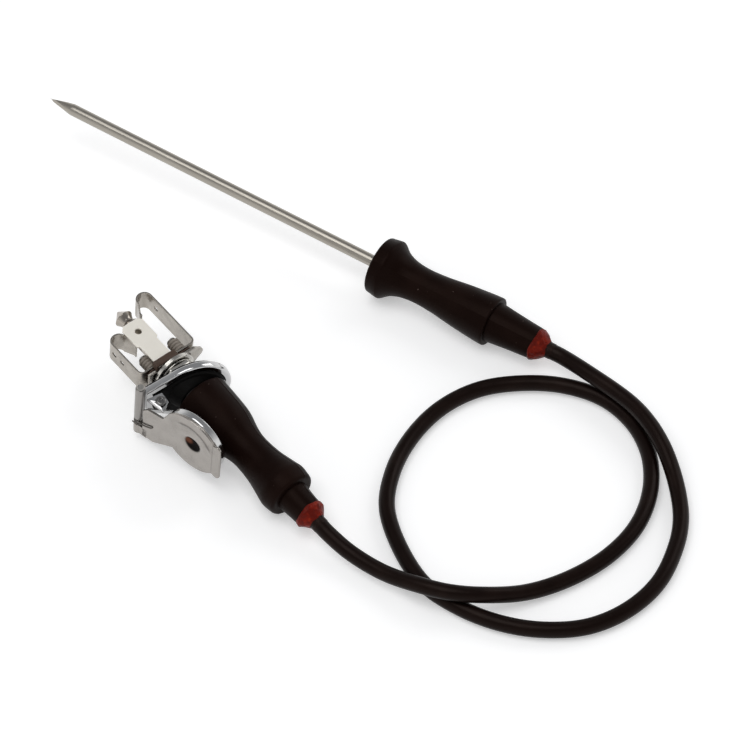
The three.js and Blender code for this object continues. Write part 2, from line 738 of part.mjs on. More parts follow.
const knuckleLow = hingeTop - bezelKnuckle;
const hingeLow = knuckleLow - springGap - lidKnuckle;
const pinBore = pinDiameter / 2 + seat;

function addBezel() {
  const upright = (geometry) => geometry.rotateX(-Math.PI / 2).translate(-hingeOffset, knuckleLow,
    hingeProud);
  const barrel = upright(rod(knuckleRadius, 0, bezelKnuckle, small + 4));
  const bore = upright(rod(pinBore, -1, bezelKnuckle + 1));
  const underside = -bezelThickness * 0.75;
  const webTop = bezelTailHalf - bezelDrop;
  const web = standing([
    [-hingeOffset - 0.4, hingeProud + 0.4], [-hingeOffset - 0.4, hingeProud - knuckleRadius],
    [-bezelTail - 0.6, underside], [-bezelTail + 1.5, underside], [-bezelTail + 1.5, -0.2],
    [-hingeOffset + knuckleRadius, hingeProud + 0.4],
  ], webTop - knuckleLow, (webTop + knuckleLow) / 2);
  const body = plate(bezelOutline(0), 0, bezelThickness, bezelEdge);
  const hole = rod(bezelHoleDiameter / 2, -12, 12, medium).rotateY(THREE.MathUtils.degToRad(bezelLean));
  piece(bezel, "lid_bezel", cut(join(body, web, barrel), bore, hole), chrome);
  const ring = plate(bezelOutline(gasketInset), -bezelThickness - seat, gasketThickness);
  const clear = rod(bezelHoleDiameter / 2 + gasketMargin, -12, 12, medium).translate(gasketShift, 0, 0);
  piece(bezel, "panel_gasket", cut(ring, clear), rubber);
  piece(bezel, "face_seal", faceSeal(), rubber);
}

// A thin rubber sheet on the bezel's face that rises in a cone to the underside of the dress nut
function faceSeal() {
  const alongJack = (geometry) => geometry.rotateY(THREE.MathUtils.degToRad(bezelLean));
  const clearOfWeb = -bezelTail + 2.5;
  const sheet = (right) => {
    const points = bezelOutline(sealInset).map(([x, y]) => [Math.min(Math.max(x, clearOfWeb), right), y]);
    return plate(points, seat + sealEdge, sealEdge);
  };
  const neckTop = bushingFront - dressNutThickness - seat;
  const neck = alongJack(rod(sealNeck, neckTop - 0.05, neckTop, medium));
  const cone = geometryOf(wasm.Manifold.hull([solidOf(sheet(sealNeck + 2.3)), solidOf(neck)]));
  const onBushing = alongJack(rod(bushingRadius + seat, -12, 12, medium));
  const underNut = alongJack(rod(dressNutDiameter / 2 + seat, neckTop, 12, medium));
  return cut(join(sheet(bezelRadius + bezelThrow), cone), onBushing, underNut);
}

function addHingePin() {
  const pinRadius = pinDiameter / 2;
  const head = 0.4;
  const pin = turned([
    [0, hingeLow - seat - head], [pinRadius + 0.5, hingeLow - seat - head],
    [pinRadius + 0.5, hingeLow - seat],
    [pinRadius, hingeLow - seat], [pinRadius, hingeTop + seat], [pinRadius + 0.5, hingeTop + seat],
    [pinRadius + 0.5, hingeTop + seat + head], [0, hingeTop + seat + head],
  ], small).rotateX(-Math.PI / 2).translate(-hingeOffset, 0, hingeProud);
  piece(bezel, "hinge_pin", pin, steel);
}

// ---- Lid: origin on the hinge line, lying flat along +X -------------------------------------------------
const lid = new THREE.Group();
lid.position.set(-hingeOffset, 0, hingeProud);
lid.rotation.y = THREE.MathUtils.degToRad(bezelLean - lidAngle);
bezel.add(lid);

const springHole = { x: 6.5, y: -2.3 };

// A disc with a broad thumb tab at its free end, drawn in to the lower knuckle at its hinge end
function lidOutline() {
  const half = lidTabWidth / 2;
  const tabAngle = THREE.MathUtils.radToDeg(Math.asin(half / lidRadius));
  const corner = 1.6;
  const clearOfKnuckle = knuckleRadius + seat + 0.3;
  return [
    [clearOfKnuckle, hingeLow], [clearOfKnuckle + 4.5, hingeLow + 0.6],
    ...arc(lidCentre, lidRise, lidRadius, -128, -tabAngle, 10),
    [lidTabEnd - 0.6, lidRise - half - 0.4], [lidTabEnd, lidRise - half + corner],
    [lidTabEnd, lidRise + half - corner],
    [lidTabEnd - 0.6, lidRise + half + 0.4],
    ...arc(lidCentre, lidRise, lidRadius, tabAngle, 142, 12),
    [10.4, 6.4], [clearOfKnuckle + 2, 5.2], [clearOfKnuckle, 3],
  ];
}

function addLid() {
  const upright = (geometry) => geometry.rotateX(-Math.PI / 2).translate(0, hingeLow, 0);
  const barrel = upright(rod(knuckleRadius, 0, lidKnuckle, small + 4));
  const bore = upright(rod(pinBore, -1, lidKnuckle + 1));
  const arm = block(4, lidKnuckle, lidShell, 2, hingeLow + lidKnuckle / 2, lidFace - lidShell / 2);
  const shell = plate(lidOutline(), lidFace, lidShell);
  const dimple = turned([
    [0, lidFace - 0.55], [2.4, lidFace - 0.35], [3, lidFace + 1], [0, lidFace + 1],
  ], small + 4).translate(lidCentre + 0.6, lidRise, 0);
  const legHole = rod(springWire / 2 + 0.25, -3, 3, 8).translate(springHole.x, springHole.y, 0);
  piece(lid, "lid_plate", cut(join(shell, arm, barrel), bore, dimple, legHole), chrome);

  const cupTop = lidFace - lidShell - seat;
  const wall = 0.7;
  const cup = turned([
    [0, cupTop], [lidCupRadius - 0.6, cupTop], [lidCupRadius, cupTop - 0.5],
    [lidCupRadius, cupTop - lidCupDepth],
    [lidCupRadius - wall, cupTop - lidCupDepth], [lidCupRadius - wall, cupTop - wall], [0, cupTop - wall],
  ], large).translate(lidCentre, lidRise, 0);
  piece(lid, "lid_cup", cup, chrome);
  const sealTop = cupTop - wall - seat;
  const sealBottom = cupTop - lidCupDepth + 0.1;
  const seal = tube(lidSealRadius, lidSealRadius - 3.4, sealBottom, sealTop, large);
  piece(lid, "lid_seal", seal.translate(lidCentre, lidRise, 0), rubber);
}

// A folded ear square to the hinge line, with a screw through it
function addLidEar() {
  const earThickness = 1;
  const middleHeight = lidEarHeight + earThickness / 2;
  const screw = { x: 6.4, z: -2.5 };
  const earOutline = [[2.6, -0.3], [4.4, -5.3], [8.2, -4.2], [9.6, -0.3]];
  const screwRadius = 1;
  const upright = (geometry) => geometry.rotateX(-Math.PI / 2).translate(screw.x, 0, screw.z);
  const hole = upright(rod(screwRadius + seat, lidEarHeight - 1, lidEarHeight + 2));
  piece(lid, "lid_ear", cut(standing(earOutline, earThickness, middleHeight), hole), chrome);
  const head = lidEarHeight + earThickness + seat;
  const foot = lidEarHeight - 1.6;
  piece(lid, "ear_screw", upright(turned([
    [0, foot], [screwRadius, foot], [screwRadius, head], [screwRadius + 0.8, head],
    [screwRadius + 0.8, head + 0.5],
    [screwRadius + 0.4, head + 0.8], [0.6, head + 0.8], [0.6, head + 0.3], [0, head + 0.3],
  ], small)), steel);
}

// The closing spring: a coil round the pin with one leg hooked into the lid, one unbroken wire
function addSpring() {
  const stepsPerTurn = 8;
  const coilTop = knuckleLow - (springGap - springTurns * springPitch) / 2;
  const over = lidFace + springWire / 2 + 0.1;
  const points = [
    new THREE.Vector3(springHole.x, springHole.y, lidFace - lidShell),
    new THREE.Vector3(springHole.x, springHole.y, over - 0.1),
    new THREE.Vector3(springHole.x - 0.6, springHole.y - 0.3, over + 0.05),
    new THREE.Vector3(2.8, coilTop + 0.1, over + 0.05),
  ];
  const coilSteps = springTurns * stepsPerTurn;
  const coilStart = points.length;
  for (let i = 0; i <= coilSteps; i++) {
    const angle = Math.PI / 2 + (2 * Math.PI * i) / stepsPerTurn;
    const height = coilTop - (springPitch * i) / stepsPerTurn;
    points.push(new THREE.Vector3(springRadius * Math.cos(angle), height, springRadius * Math.sin(angle)));
  }
  points.push(new THREE.Vector3(-2.6, coilTop - springTurns * springPitch, springRadius));
  const path = new THREE.CatmullRomCurve3(points);
  const section = outline(arc(0, 0, springWire / 2, 0, 288, 4));
  const wire = new THREE.ExtrudeGeometry(section, { steps: (points.length - 1) * 2, extrudePath: path });
  piece(lid, "hinge_spring", wire, steel);
  let least = Infinity;
  for (let i = coilStart; i <= coilStart + coilSteps; i++)
    for (let j = i + stepsPerTurn - 1; j <= coilStart + coilSteps; j++)
      least = Math.min(least, points[i].distanceTo(points[j]) - springWire);
  console.log(`hinge spring, least gap between turns ${least.toFixed(2)} mm`);
}

addGrip();
addPlugGland();
addPlug();
addPlugWiring();
addBushing();
addStack();
addContacts();
addTab();
addBezel();
addHingePin();
addLid();
addLidEar();
addSpring();
stand(line);

// ---- Cable: free between the two glands -----------------------------------------------------------------
function addCable() {
  whole.updateMatrixWorld(true);
  const local = (group, z) => whole.worldToLocal(group.localToWorld(new THREE.Vector3(0, 0, z)));
  const points = [
    local(probe, probeExit - seat),
    local(probe, probeExit - seat - 3),
    ...cableRoute.map((point) => new THREE.Vector3(...point)),
    local(line, plugExit + seat + 3),
    local(line, plugExit + seat),
  ];
  const route = new THREE.CatmullRomCurve3(points);
  const section = outline(arc(0, 0, cableRadius, 0, 360 - 360 / cableSides, cableSides - 1));
  const geometry = new THREE.ExtrudeGeometry(section, { steps: cableSteps, extrudePath: route });
  piece(whole, "cable", geometry, cableSkin);
  console.log(`cable ${route.getLength().toFixed(1)} mm`);
}
addCable();

export default whole;
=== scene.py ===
"""An oven's core-temperature probe on a pale table: a needle, two silicone handles with their cable, and a
jack plug in its lidded socket.

Each section below makes one piece of it, or one group of like pieces, in the order in which they are put
together. Lengths are in millimetres along each assembly's own axis, and MM turns them into metres."""

import json
import math

import bmesh
import bpy
import numpy as np
from mathutils import Matrix, Vector


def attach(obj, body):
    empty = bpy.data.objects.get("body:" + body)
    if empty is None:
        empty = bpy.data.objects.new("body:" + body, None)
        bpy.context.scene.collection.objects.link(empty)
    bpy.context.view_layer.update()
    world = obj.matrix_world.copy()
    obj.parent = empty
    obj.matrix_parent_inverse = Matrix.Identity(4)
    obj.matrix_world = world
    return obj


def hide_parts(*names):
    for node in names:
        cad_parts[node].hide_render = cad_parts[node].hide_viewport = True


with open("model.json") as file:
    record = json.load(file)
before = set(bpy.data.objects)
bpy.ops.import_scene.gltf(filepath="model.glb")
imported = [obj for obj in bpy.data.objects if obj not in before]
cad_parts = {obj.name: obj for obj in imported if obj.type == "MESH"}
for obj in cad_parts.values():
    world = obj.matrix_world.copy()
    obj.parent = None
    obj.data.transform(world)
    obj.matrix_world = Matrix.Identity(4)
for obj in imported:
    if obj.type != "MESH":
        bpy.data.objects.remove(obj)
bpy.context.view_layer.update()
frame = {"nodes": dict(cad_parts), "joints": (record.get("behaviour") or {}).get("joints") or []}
nodes = frame["nodes"]
MM = 0.001

# ---- Camera ---------------------------------------------------------------------------------------------
# A long lens a metre and a half away, looking down on the table at fifty degrees. The whole probe fills the
# square picture, with the needle's tip near its upper left corner and the cable's loops at its lower right.
SEEN_AT_MIDDLE = Vector((21.57, -14.68, 0)) * MM
CAMERA_DISTANCE = 1450 * MM
CAMERA_ELEVATION = math.radians(50)
PICTURE_SPAN = 235.5 * MM  # width of the floor's middle that the picture takes in

lens_data = bpy.data.cameras.new("table_camera")
lens_data.lens = lens_data.sensor_width * CAMERA_DISTANCE / PICTURE_SPAN
lens_data.clip_start = 0.05
lens_data.clip_end = 20
camera = bpy.data.objects.new("table_camera", lens_data)
bpy.context.scene.collection.objects.link(camera)
toward_camera = Vector((0, -math.cos(CAMERA_ELEVATION), math.sin(CAMERA_ELEVATION)))
camera.location = SEEN_AT_MIDDLE + CAMERA_DISTANCE * toward_camera
camera.rotation_euler = (math.pi / 2 - CAMERA_ELEVATION, 0, 0)
bpy.context.scene.camera = camera
bpy.context.scene.view_settings.view_transform = "Standard"


# ---- Probe's and plug's axes ----------------------------------------------------------------------------
# The needle's axis is read from its tube, and its origin lies just in front of the handle's face. The jack's
# axis is the way that the socket pulls off it, and the upright line through it is the lid's hinge line.
HANDLE_FACE = 2  # from the probe's origin back to the handle's front face


def placing(x, y, z, origin):
    """An assembly's own frame, from its three directions and its origin in metres."""
    turn = Matrix((x, y, z)).transposed().to_4x4()
    turn.translation = origin
    return turn


def points_of(node):
    return np.array([v.co for v in nodes[node].data.vertices])


needle_points = points_of("needle_tube")
needle_middle = needle_points.mean(0)
needle_way = Vector(np.linalg.svd(needle_points - needle_middle, full_matrices=False)[2][0])
handle_points = points_of("probe_handle")
if needle_way.dot(Vector(handle_points.mean(0) - needle_middle)) > 0:
    needle_way = -needle_way
face_reach = (handle_points @ np.array(needle_way)).max() - needle_way.dot(Vector(needle_middle))
needle_side = Vector((0, 0, 1)).cross(needle_way).normalized()
probe_origin = Vector(needle_middle) + needle_way * (face_reach + HANDLE_FACE * MM)
probe = placing(needle_side, needle_way.cross(needle_side), needle_way, probe_origin)

joints = {joint["name"]: joint for joint in frame["joints"]}
jack_way = -Vector(joints["socket_pull"]["axis"]).normalized()
hinge_way = -Vector(joints["lid_swing"]["axis"]).normalized()
jack_side = hinge_way.cross(jack_way).normalized()
hinge_way = jack_way.cross(jack_side)
plug = placing(jack_side, hinge_way, jack_way, Vector(joints["bezel_turn"]["pos_m"]))


# ---- Cable ----------------------------------------------------------------------------------------------
# Half a metre of two-core cable with a dark silicone jacket, five millimetres thick. It is limp enough to lie
# in one and a half loose loops, and it passes over itself twice. Each end runs into a handle's strain relief.
SEAT = 0.3  # left between two pieces that touch
SAME_POINT = 1e-7  # metres
CABLE_RADIUS = 2.6
CABLE_SIDES = 32
LAYOUT_MIDDLE = Vector((-21.57, 14.68, 0))  # of the rigid pieces' box, in the route's own frame
CABLE_ROUTE = [
    (70.4, -9.1, 7.9), (84.3, -22.3, 8.0), (90.1, -30.8, 7.9),
    (94.1, -39.1, 6.8), (96.8, -47.1, 4.7), (98.5, -56.4, 3.3), (98.8, -65.5, 2.8), (96.9, -75.7, 2.7),
    (90.8, -90.0, 2.7), (81.0, -100.5, 2.7), (68.8, -106.9, 2.7), (55.3, -108.3, 2.7), (41.8, -105.8, 2.7),
    (28.6, -99.4, 2.7), (17.2, -89.2, 2.7), (7.1, -63.0, 2.7), (8.6, -46.9, 2.7),
    (14.8, -32.2, 2.7), (24.3, -20.2, 2.7), (36.2, -12.6, 2.7), (49.7, -9.9, 2.7), (63.6, -10.9, 2.7),
    (76.0, -16.2, 2.7), (84.9, -25.9, 2.7), (89.7, -38.6, 2.7), (89.8, -53.2, 2.7), (85.1, -67.5, 2.7),
    (75.9, -79.4, 2.7), (63.1, -88.6, 2.7), (49.4, -94.7, 3.7), (35.3, -98.1, 7.0), (25.8, -97.8, 8.0),
    (17.5, -94.7, 7.2), (6.0, -87.8, 4.6), (-4.7, -79.6, 4.4),
]
HANDLE_LENGTH = 45.6
SLEEVE_LENGTH = 16
SEALANT_LENGTH = 5.4
GRIP_START = 4.3
GRIP_LENGTH = 46.2
GRIP_SLEEVE_LENGTH = 8
probe_sleeve_end = -HANDLE_LENGTH - SEAT - SLEEVE_LENGTH
probe_exit = probe_sleeve_end - SEAT - SEALANT_LENGTH
grip_rear = GRIP_START + GRIP_LENGTH
plug_sleeve_end = grip_rear + SEAT + GRIP_SLEEVE_LENGTH
plug_exit = plug_sleeve_end + SEAT + SEALANT_LENGTH


def at(axis, x, y, z):
    """Where a point of an assembly's own frame lies in space."""
    return axis @ (Vector((x, y, z)) * MM)


def through(points, steps):
    """Points of the smooth line through the given ones, closest where they are closest."""
    given = [Vector(p) for p in points]
    given = [2 * given[0] - given[1], *given, 2 * given[-1] - given[-2]]
    line = []
    for a, b, c, d in zip(given, given[1:], given[2:], given[3:]):
        gaps = [max((q - p).length, 1e-9) ** 0.5 for p, q in ((a, b), (b, c), (c, d))]
        leave = ((b - a) / gaps[0] - (c - a) / (gaps[0] + gaps[1]) + (c - b) / gaps[1]) * gaps[1]
        arrive = ((c - b) / gaps[1] - (d - b) / (gaps[1] + gaps[2]) + (d - c) / gaps[2]) * gaps[1]
        for step in range(steps):
            u = step / steps
            line.append(
                b * (2 * u**3 - 3 * u**2 + 1) + leave * (u**3 - 2 * u**2 + u)
                + c * (3 * u**2 - 2 * u**3) + arrive * (u**3 - u**2)
            )
    return [*line, given[-2]]


def finished(name, built, sharp=35):
    """An object of the faces, smooth but for the edges that turn by more than the given degrees."""
    bmesh.ops.recalc_face_normals(built, faces=built.faces)
    mesh = bpy.data.meshes.new(name)
    built.to_mesh(mesh)
    built.free()
    for face in mesh.polygons:
        face.use_smooth = True
    mesh.set_sharp_from_angle(angle=math.radians(sharp))
    made = bpy.data.objects.new(name, mesh)
    bpy.context.scene.collection.objects.link(made)
    return made


def ring_skin(name, rings, closed=False, sharp=35):
    """A skin over rings of equally many points. It runs on from the last ring to the first if it is closed,
    and is capped at both ends if not."""
    built = bmesh.new()
    rows = [[built.verts.new(p) for p in ring] for ring in rings]
    for row, following in zip(rows, rows[1:] + rows[:1] if closed else rows[1:]):
        for i in range(len(row)):
            j = (i + 1) % len(row)
            built.faces.new((row[i], row[j], following[j], following[i]))
    if not closed:
        built.faces.new(rows[0][::-1])
        built.faces.new(rows[-1])
    bmesh.ops.remove_doubles(built, verts=built.verts, dist=SAME_POINT)
    bmesh.ops.dissolve_degenerate(built, edges=built.edges, dist=SAME_POINT)
    return finished(name, built, sharp)


def swept(name, line, radius, sides):
    """A round tube along a line, whose section is carried along without twisting."""
    ways = [(q - p).normalized() for p, q in zip(line, line[1:])]
    ways = [ways[0], *[(a + b).normalized() for a, b in zip(ways, ways[1:])], ways[-1]]
    across = ways[0].orthogonal().normalized()
    rings = []
    for point, way in zip(line, ways):
        across = (across - way * across.dot(way)).normalized()
        up = way.cross(across)
        turns = [2 * math.pi * i / sides for i in range(sides)]
        rings.append([point + radius * (math.cos(a) * across + math.sin(a) * up) for a in turns])
    return ring_skin(name, rings)


class Field:
    """A number or colour that changes over a surface, with the arithmetic of a plain number."""

    def __init__(self, finish, socket):
        self.finish = finish
        self.socket = socket

    def math(self, operation, *values):
        return self.finish.node("ShaderNodeMath", {"operation": operation}, dict(enumerate(values)))

    def __add__(self, other):
        return self.math("ADD", self, other)

    def __sub__(self, other):
        return self.math("SUBTRACT", self, other)

    def __mul__(self, other):
        return self.math("MULTIPLY", self, other)

    def __rsub__(self, other):
        return self.math("SUBTRACT", other, self)

    __radd__ = __add__
    __rmul__ = __mul__

    def above(self, low, high):
        """0 below the low value, 1 above the high one, and a smooth rise between them."""
        values = {"Value": self, "From Min": low, "From Max": high}
        return self.finish.node("ShaderNodeMapRange", {"interpolation_type": "SMOOTHSTEP"}, values)


class Finish:
    """A material with one Principled shader, whose constants are set on the shader's own sockets."""

    def __init__(self, name, constants=None):
        self.material = bpy.data.materials.new(name)
        self.material.use_nodes = True
        self.tree = self.material.node_tree
        self.shader = self.tree.nodes["Principled BSDF"]
        for socket, value in (constants or {}).items():
            self.shader.inputs[socket].default_value = value

    def node(self, kind, settings=None, values=None, output=0):
        """Adds a node: its settings first, then the values or links of its sockets."""
        made = self.tree.nodes.new(kind)
        for key, value in (settings or {}).items():
            setattr(made, key, value)
        for key, value in (values or {}).items():
            if isinstance(value, Field):
                self.tree.links.new(value.socket, made.inputs[key])
            else:
                made.inputs[key].default_value = value
        return Field(self, made.outputs[output])

    def place(self, stretch=None):
        """Where a point lies, in metres, drawn out along a way by a factor if stretch gives the two."""
        here = self.node("ShaderNodeTexCoord", output="Object")
        if stretch is None:
            return here
        way, factor = stretch
        less = self.dot(here, way) * (1 / factor - 1)
        shift = self.node("ShaderNodeVectorMath", {"operation": "SCALE"}, {0: way, "Scale": less})
        return self.node("ShaderNodeVectorMath", {"operation": "ADD"}, {0: here, 1: shift})

    def dot(self, place, way):
        settings = {"operation": "DOT_PRODUCT"}
        return self.node("ShaderNodeVectorMath", settings, {0: place, 1: tuple(way)}, output="Value")

    def noise(self, size, detail=2, stretch=None):
        """Cloudy noise from 0 to 1, whose clouds are about the given size in millimetres."""
        values = {"Vector": self.place(stretch), "Scale": 1 / (size * MM), "Detail": detail}
        return self.node("ShaderNodeTexNoise", None, values)

    def distance(self, centre):
        """How far a point lies from the centre, in metres."""
        values = {0: self.place(), 1: tuple(centre)}
        return self.node("ShaderNodeVectorMath", {"operation": "DISTANCE"}, values, output="Value")

    def along(self, way, origin):
        """How far a point lies from the origin along the way, in metres."""
        return self.dot(self.place(), way) - origin.dot(way)

    def mix(self, share, first, second):
        """The first colour where the share is 0, and the second where it is 1."""
        values = {"Factor": share, 6: first, 7: second}
        return self.node("ShaderNodeMix", {"data_type": "RGBA"}, values, output=2)

    def bump(self, height, depth):
        """A relief of the given depth in millimetres."""
        values = {"Height": height, "Distance": depth * MM, "Strength": 1}
        self.link("Normal", self.node("ShaderNodeBump", None, values))

    def link(self, socket, field):
        self.tree.links.new(field.socket, self.shader.inputs[socket])

    def on(self, *pieces):
        for made in pieces:
            made.data.materials.clear()
            made.data.materials.append(self.material)


def fit(made, node, body, finish):
    """Gives a piece its finish, and has it ride a body in place of the plain node."""
    finish.on(made)
    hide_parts(node)
    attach(made, body)


def jacket_finish():
    """Near-black brown silicone with a soft sheen, rubbed paler here and there, with dust along it."""
    skin = Finish("silicone_jacket", {"Specular IOR Level": 0.1, "Specular Tint": (1, 0.8, 0.72, 1)})
    worn = skin.noise(9, 3).above(0.45, 0.75)
    dust = skin.noise(0.7, 1).above(0.76, 0.81)
    brown = skin.mix(worn, (0.0050, 0.0022, 0.0017, 1), (0.0088, 0.0044, 0.0034, 1))
    skin.link("Base Color", skin.mix(dust * 0.12, brown, (0.09, 0.08, 0.075, 1)))
    skin.link("Roughness", 0.26 + skin.noise(4, 3) * 0.16 + dust * 0.2)
    skin.bump(skin.noise(0.35, 3) + 2 * skin.noise(6, 1), 0.03)
    return skin


along_probe = [at(probe, 0, 0, z) for z in (probe_exit - SEAT, probe_exit - SEAT - 3)]
along_plug = [at(plug, 0, 0, z) for z in (plug_exit + SEAT + 3, plug_exit + SEAT)]
laid = [(Vector(point) - LAYOUT_MIDDLE) * MM for point in CABLE_ROUTE]
cable_line = through([*along_probe, *laid, *along_plug], 10)
cable_length = sum((q - p).length for p, q in zip(cable_line, cable_line[1:]))
cable_skin = swept("cable_jacket", cable_line, CABLE_RADIUS * MM, CABLE_SIDES)
jacket = jacket_finish()
fit(cable_skin, "cable", "probe_lead", jacket)

# ---- Probe handle ---------------------------------------------------------------------------------------
# One moulding of dark brown silicone over the needle's crimp. A thick rim in front keeps fingers off the hot
# needle, the waist behind it is slim, and it ends in a shoulder. The mould left a fine line down its side.
RIM_FRONT_RADIUS = 9.7
RIM_EDGE = 0.9
FLARE_RADIUS = 10.2  # at the rim's rear edge
FLARE_STATION = 6.2
WAIST_RADIUS = 6.05
WAIST_STATION = 19
SHOULDER_RADIUS = 8.4
HANDLE_WALL = 1.4
SLEEVE_FRONT = 6.85
SPIGOT_LENGTH = 9
NEEDLE_RADIUS = 2
TURNED_SIDES = 160
SEAM_HEIGHT = 0.14
PROBE_SEAMS = (55, 235)  # where the mould's halves met, in degrees round the axis


def arc(x, y, radius, start, end, steps):
    """Points of an arc, with its angles in degrees."""
    angles = [math.radians(start + (end - start) * i / steps) for i in range(steps + 1)]
    return [(x + radius * math.cos(a), y + radius * math.sin(a)) for a in angles]


def spread(start, end, steps):
    """Points along a straight line, without its end."""
    return [(start[0] + (end[0] - start[0]) * i / steps, start[1] + (end[1] - start[1]) * i / steps)
            for i in range(steps)]


def smooth_section(points, steps):
    return [(p.x, p.y) for p in through([(x, y, 0) for x, y in points], steps)]


def around(axis, radius, angle, station):
    return at(axis, radius * math.cos(angle), radius * math.sin(angle), station)


def turned(name, section, axis, sides=TURNED_SIDES, seams=(), sharp=35):
    """A piece turned from its half section, (radius, station) points that close on themselves.
    A mould line stands a little proud at each angle in seams."""
    rings = []
    for radius, station in section:
        ring = []
        for i in range(sides):
            angle = 2 * math.pi * i / sides
            off = min((abs((math.degrees(angle) - s + 180) % 360 - 180) for s in seams), default=99)
            reach = radius + (SEAM_HEIGHT * max(0.0, 1 - off * sides / 360) if radius > 0 else 0)
            ring.append(around(axis, reach, angle, station))
        rings.append(ring)
    return ring_skin(name, rings, closed=True, sharp=sharp)


def silicone_finish():
    """Dense brown-black silicone: matt, with a dry bloom, a faint orange peel and a few specks of dust."""
    skin = Finish("moulded_silicone", {"Specular IOR Level": 0.06, "Specular Tint": (1, 0.72, 0.62, 1)})
    bloom = skin.noise(11, 3).above(0.4, 0.75)
    speck = skin.noise(0.8, 0).above(0.87, 0.885)
    brown = skin.mix(bloom, (0.0054, 0.0021, 0.0015, 1), (0.0086, 0.0038, 0.0028, 1))
    skin.link("Base Color", skin.mix(speck * 0.7, brown, (0.11, 0.08, 0.07, 1)))
    skin.link("Roughness", 0.36 + bloom * 0.12 + skin.noise(1.6, 3) * 0.08)
    skin.bump(skin.noise(0.5, 3) + 3 * skin.noise(7, 1), 0.035)
    return skin


flare_top = FLARE_RADIUS - 0.02
handle_outer = [
    *arc(RIM_FRONT_RADIUS - RIM_EDGE, -HANDLE_FACE - RIM_EDGE, RIM_EDGE, 90, 10, 10),
    *spread((RIM_FRONT_RADIUS + 0.03, -HANDLE_FACE - 1.1), (flare_top, -FLARE_STATION + 0.3), 3),
    *smooth_section([
        (flare_top, -FLARE_STATION + 0.3), (flare_top, -FLARE_STATION - 0.2),
        (FLARE_RADIUS - 0.3, -FLARE_STATION - 0.75), (8.1, -9.3), (7.05, -11.6), (WAIST_RADIUS + 0.3, -14.6),
        (WAIST_RADIUS, -WAIST_STATION), (WAIST_RADIUS + 0.4, -25.5), (WAIST_RADIUS + 1.4, -33.5),
        (SHOULDER_RADIUS - 0.1, -HANDLE_LENGTH + 3), (SHOULDER_RADIUS, -HANDLE_LENGTH + 0.9),
    ], 6),
    *arc(SHOULDER_RADIUS - 0.5, -HANDLE_LENGTH + 0.5, 0.5, -10, -90, 4),
]
mouth_radius = SLEEVE_FRONT - HANDLE_WALL
mouth_floor = -HANDLE_LENGTH + SPIGOT_LENGTH
needle_hole = NEEDLE_RADIUS + 0.12
handle_section = [
    *handle_outer, (mouth_radius, -HANDLE_LENGTH), (mouth_radius, mouth_floor), (needle_hole, mouth_floor),
    (needle_hole, -HANDLE_FACE - 0.5), (needle_hole + 0.4, -HANDLE_FACE),
]
handle_skin = turned("probe_handle_moulding", handle_section, probe, seams=PROBE_SEAMS)
silicone = silicone_finish()
fit(handle_skin, "probe_handle", "probe_lead", silicone)

# ---- Strain-relief sleeves ------------------------------------------------------------------------------
# A tapered silicone sleeve is pushed into the rear of each handle by its spigot and carries the cable out of
# it. The probe's is long and tapers, and the plug's is short and nearly straight.
SLEEVE_REAR = 5.35
GRIP_SLEEVE_FRONT = 5.55
GRIP_SLEEVE_REAR = 4.9
SLEEVE_ROUNDING = 0.5
SLEEVE_HOLLOW = 0.12
PLUG_SEAMS = (52, 232)


def relief_sleeve(name, axis, rear, way, front, back, length, seams):
    """A sleeve that leaves its handle at the station rear, away from the needle or the jack by way."""
    bore = CABLE_RADIUS + 0.1
    spigot = mouth_radius - SEAT
    taper = [(front + (back - front) * u - SLEEVE_HOLLOW * math.sin(math.pi * u), length * u)
             for u in (0.1, 0.25, 0.4, 0.55, 0.7, 0.85)]
    section = [
        (bore, -SPIGOT_LENGTH), (spigot, -SPIGOT_LENGTH), (spigot, 0), (front, 0.05), *taper,
        *arc(back - SLEEVE_ROUNDING, length - SLEEVE_ROUNDING, SLEEVE_ROUNDING, 0, 90, 6), (bore, length),
    ]
    return turned(name, [(r, rear + way * (z + 0.05)) for r, z in section], axis, seams=seams)


for name, node, *shape in (
    ("probe_sleeve_moulding", "probe_sleeve", probe, -HANDLE_LENGTH, -1,
     SLEEVE_FRONT, SLEEVE_REAR, SLEEVE_LENGTH + 0.25, PROBE_SEAMS),
    ("plug_sleeve_moulding", "plug_sleeve", plug, grip_rear, 1,
     GRIP_SLEEVE_FRONT, GRIP_SLEEVE_REAR, GRIP_SLEEVE_LENGTH + 0.25, PLUG_SEAMS),
):
    fit(relief_sleeve(name, *shape), node, "probe_lead", silicone)

# ---- Sealant beads --------------------------------------------------------------------------------------
# Red-brown silicone sealant, squeezed round the cable where it enters each sleeve and wiped by a finger. It
# runs out on the sleeve in a ragged edge, stands thick round the mouth and feathers out on the cable.
SEALANT_FOOT = 4.7
SEALANT_TAIL = 0.8  # smeared out on the cable past the bead
SEALANT_COVER = 0.9  # of the sleeve's end
SEALANT_SWELL = 0.28
SEALANT_SIDES = 96
SEALANT_RINGS = 22


def wander(angle, seed):
    """A smooth random-looking value round a circle, about -1 to 1 and the same each run."""
    return sum(math.sin(k * angle + seed * (k * 1.7 + 0.3)) / k for k in (1, 2, 3, 5, 8)) / 1.7


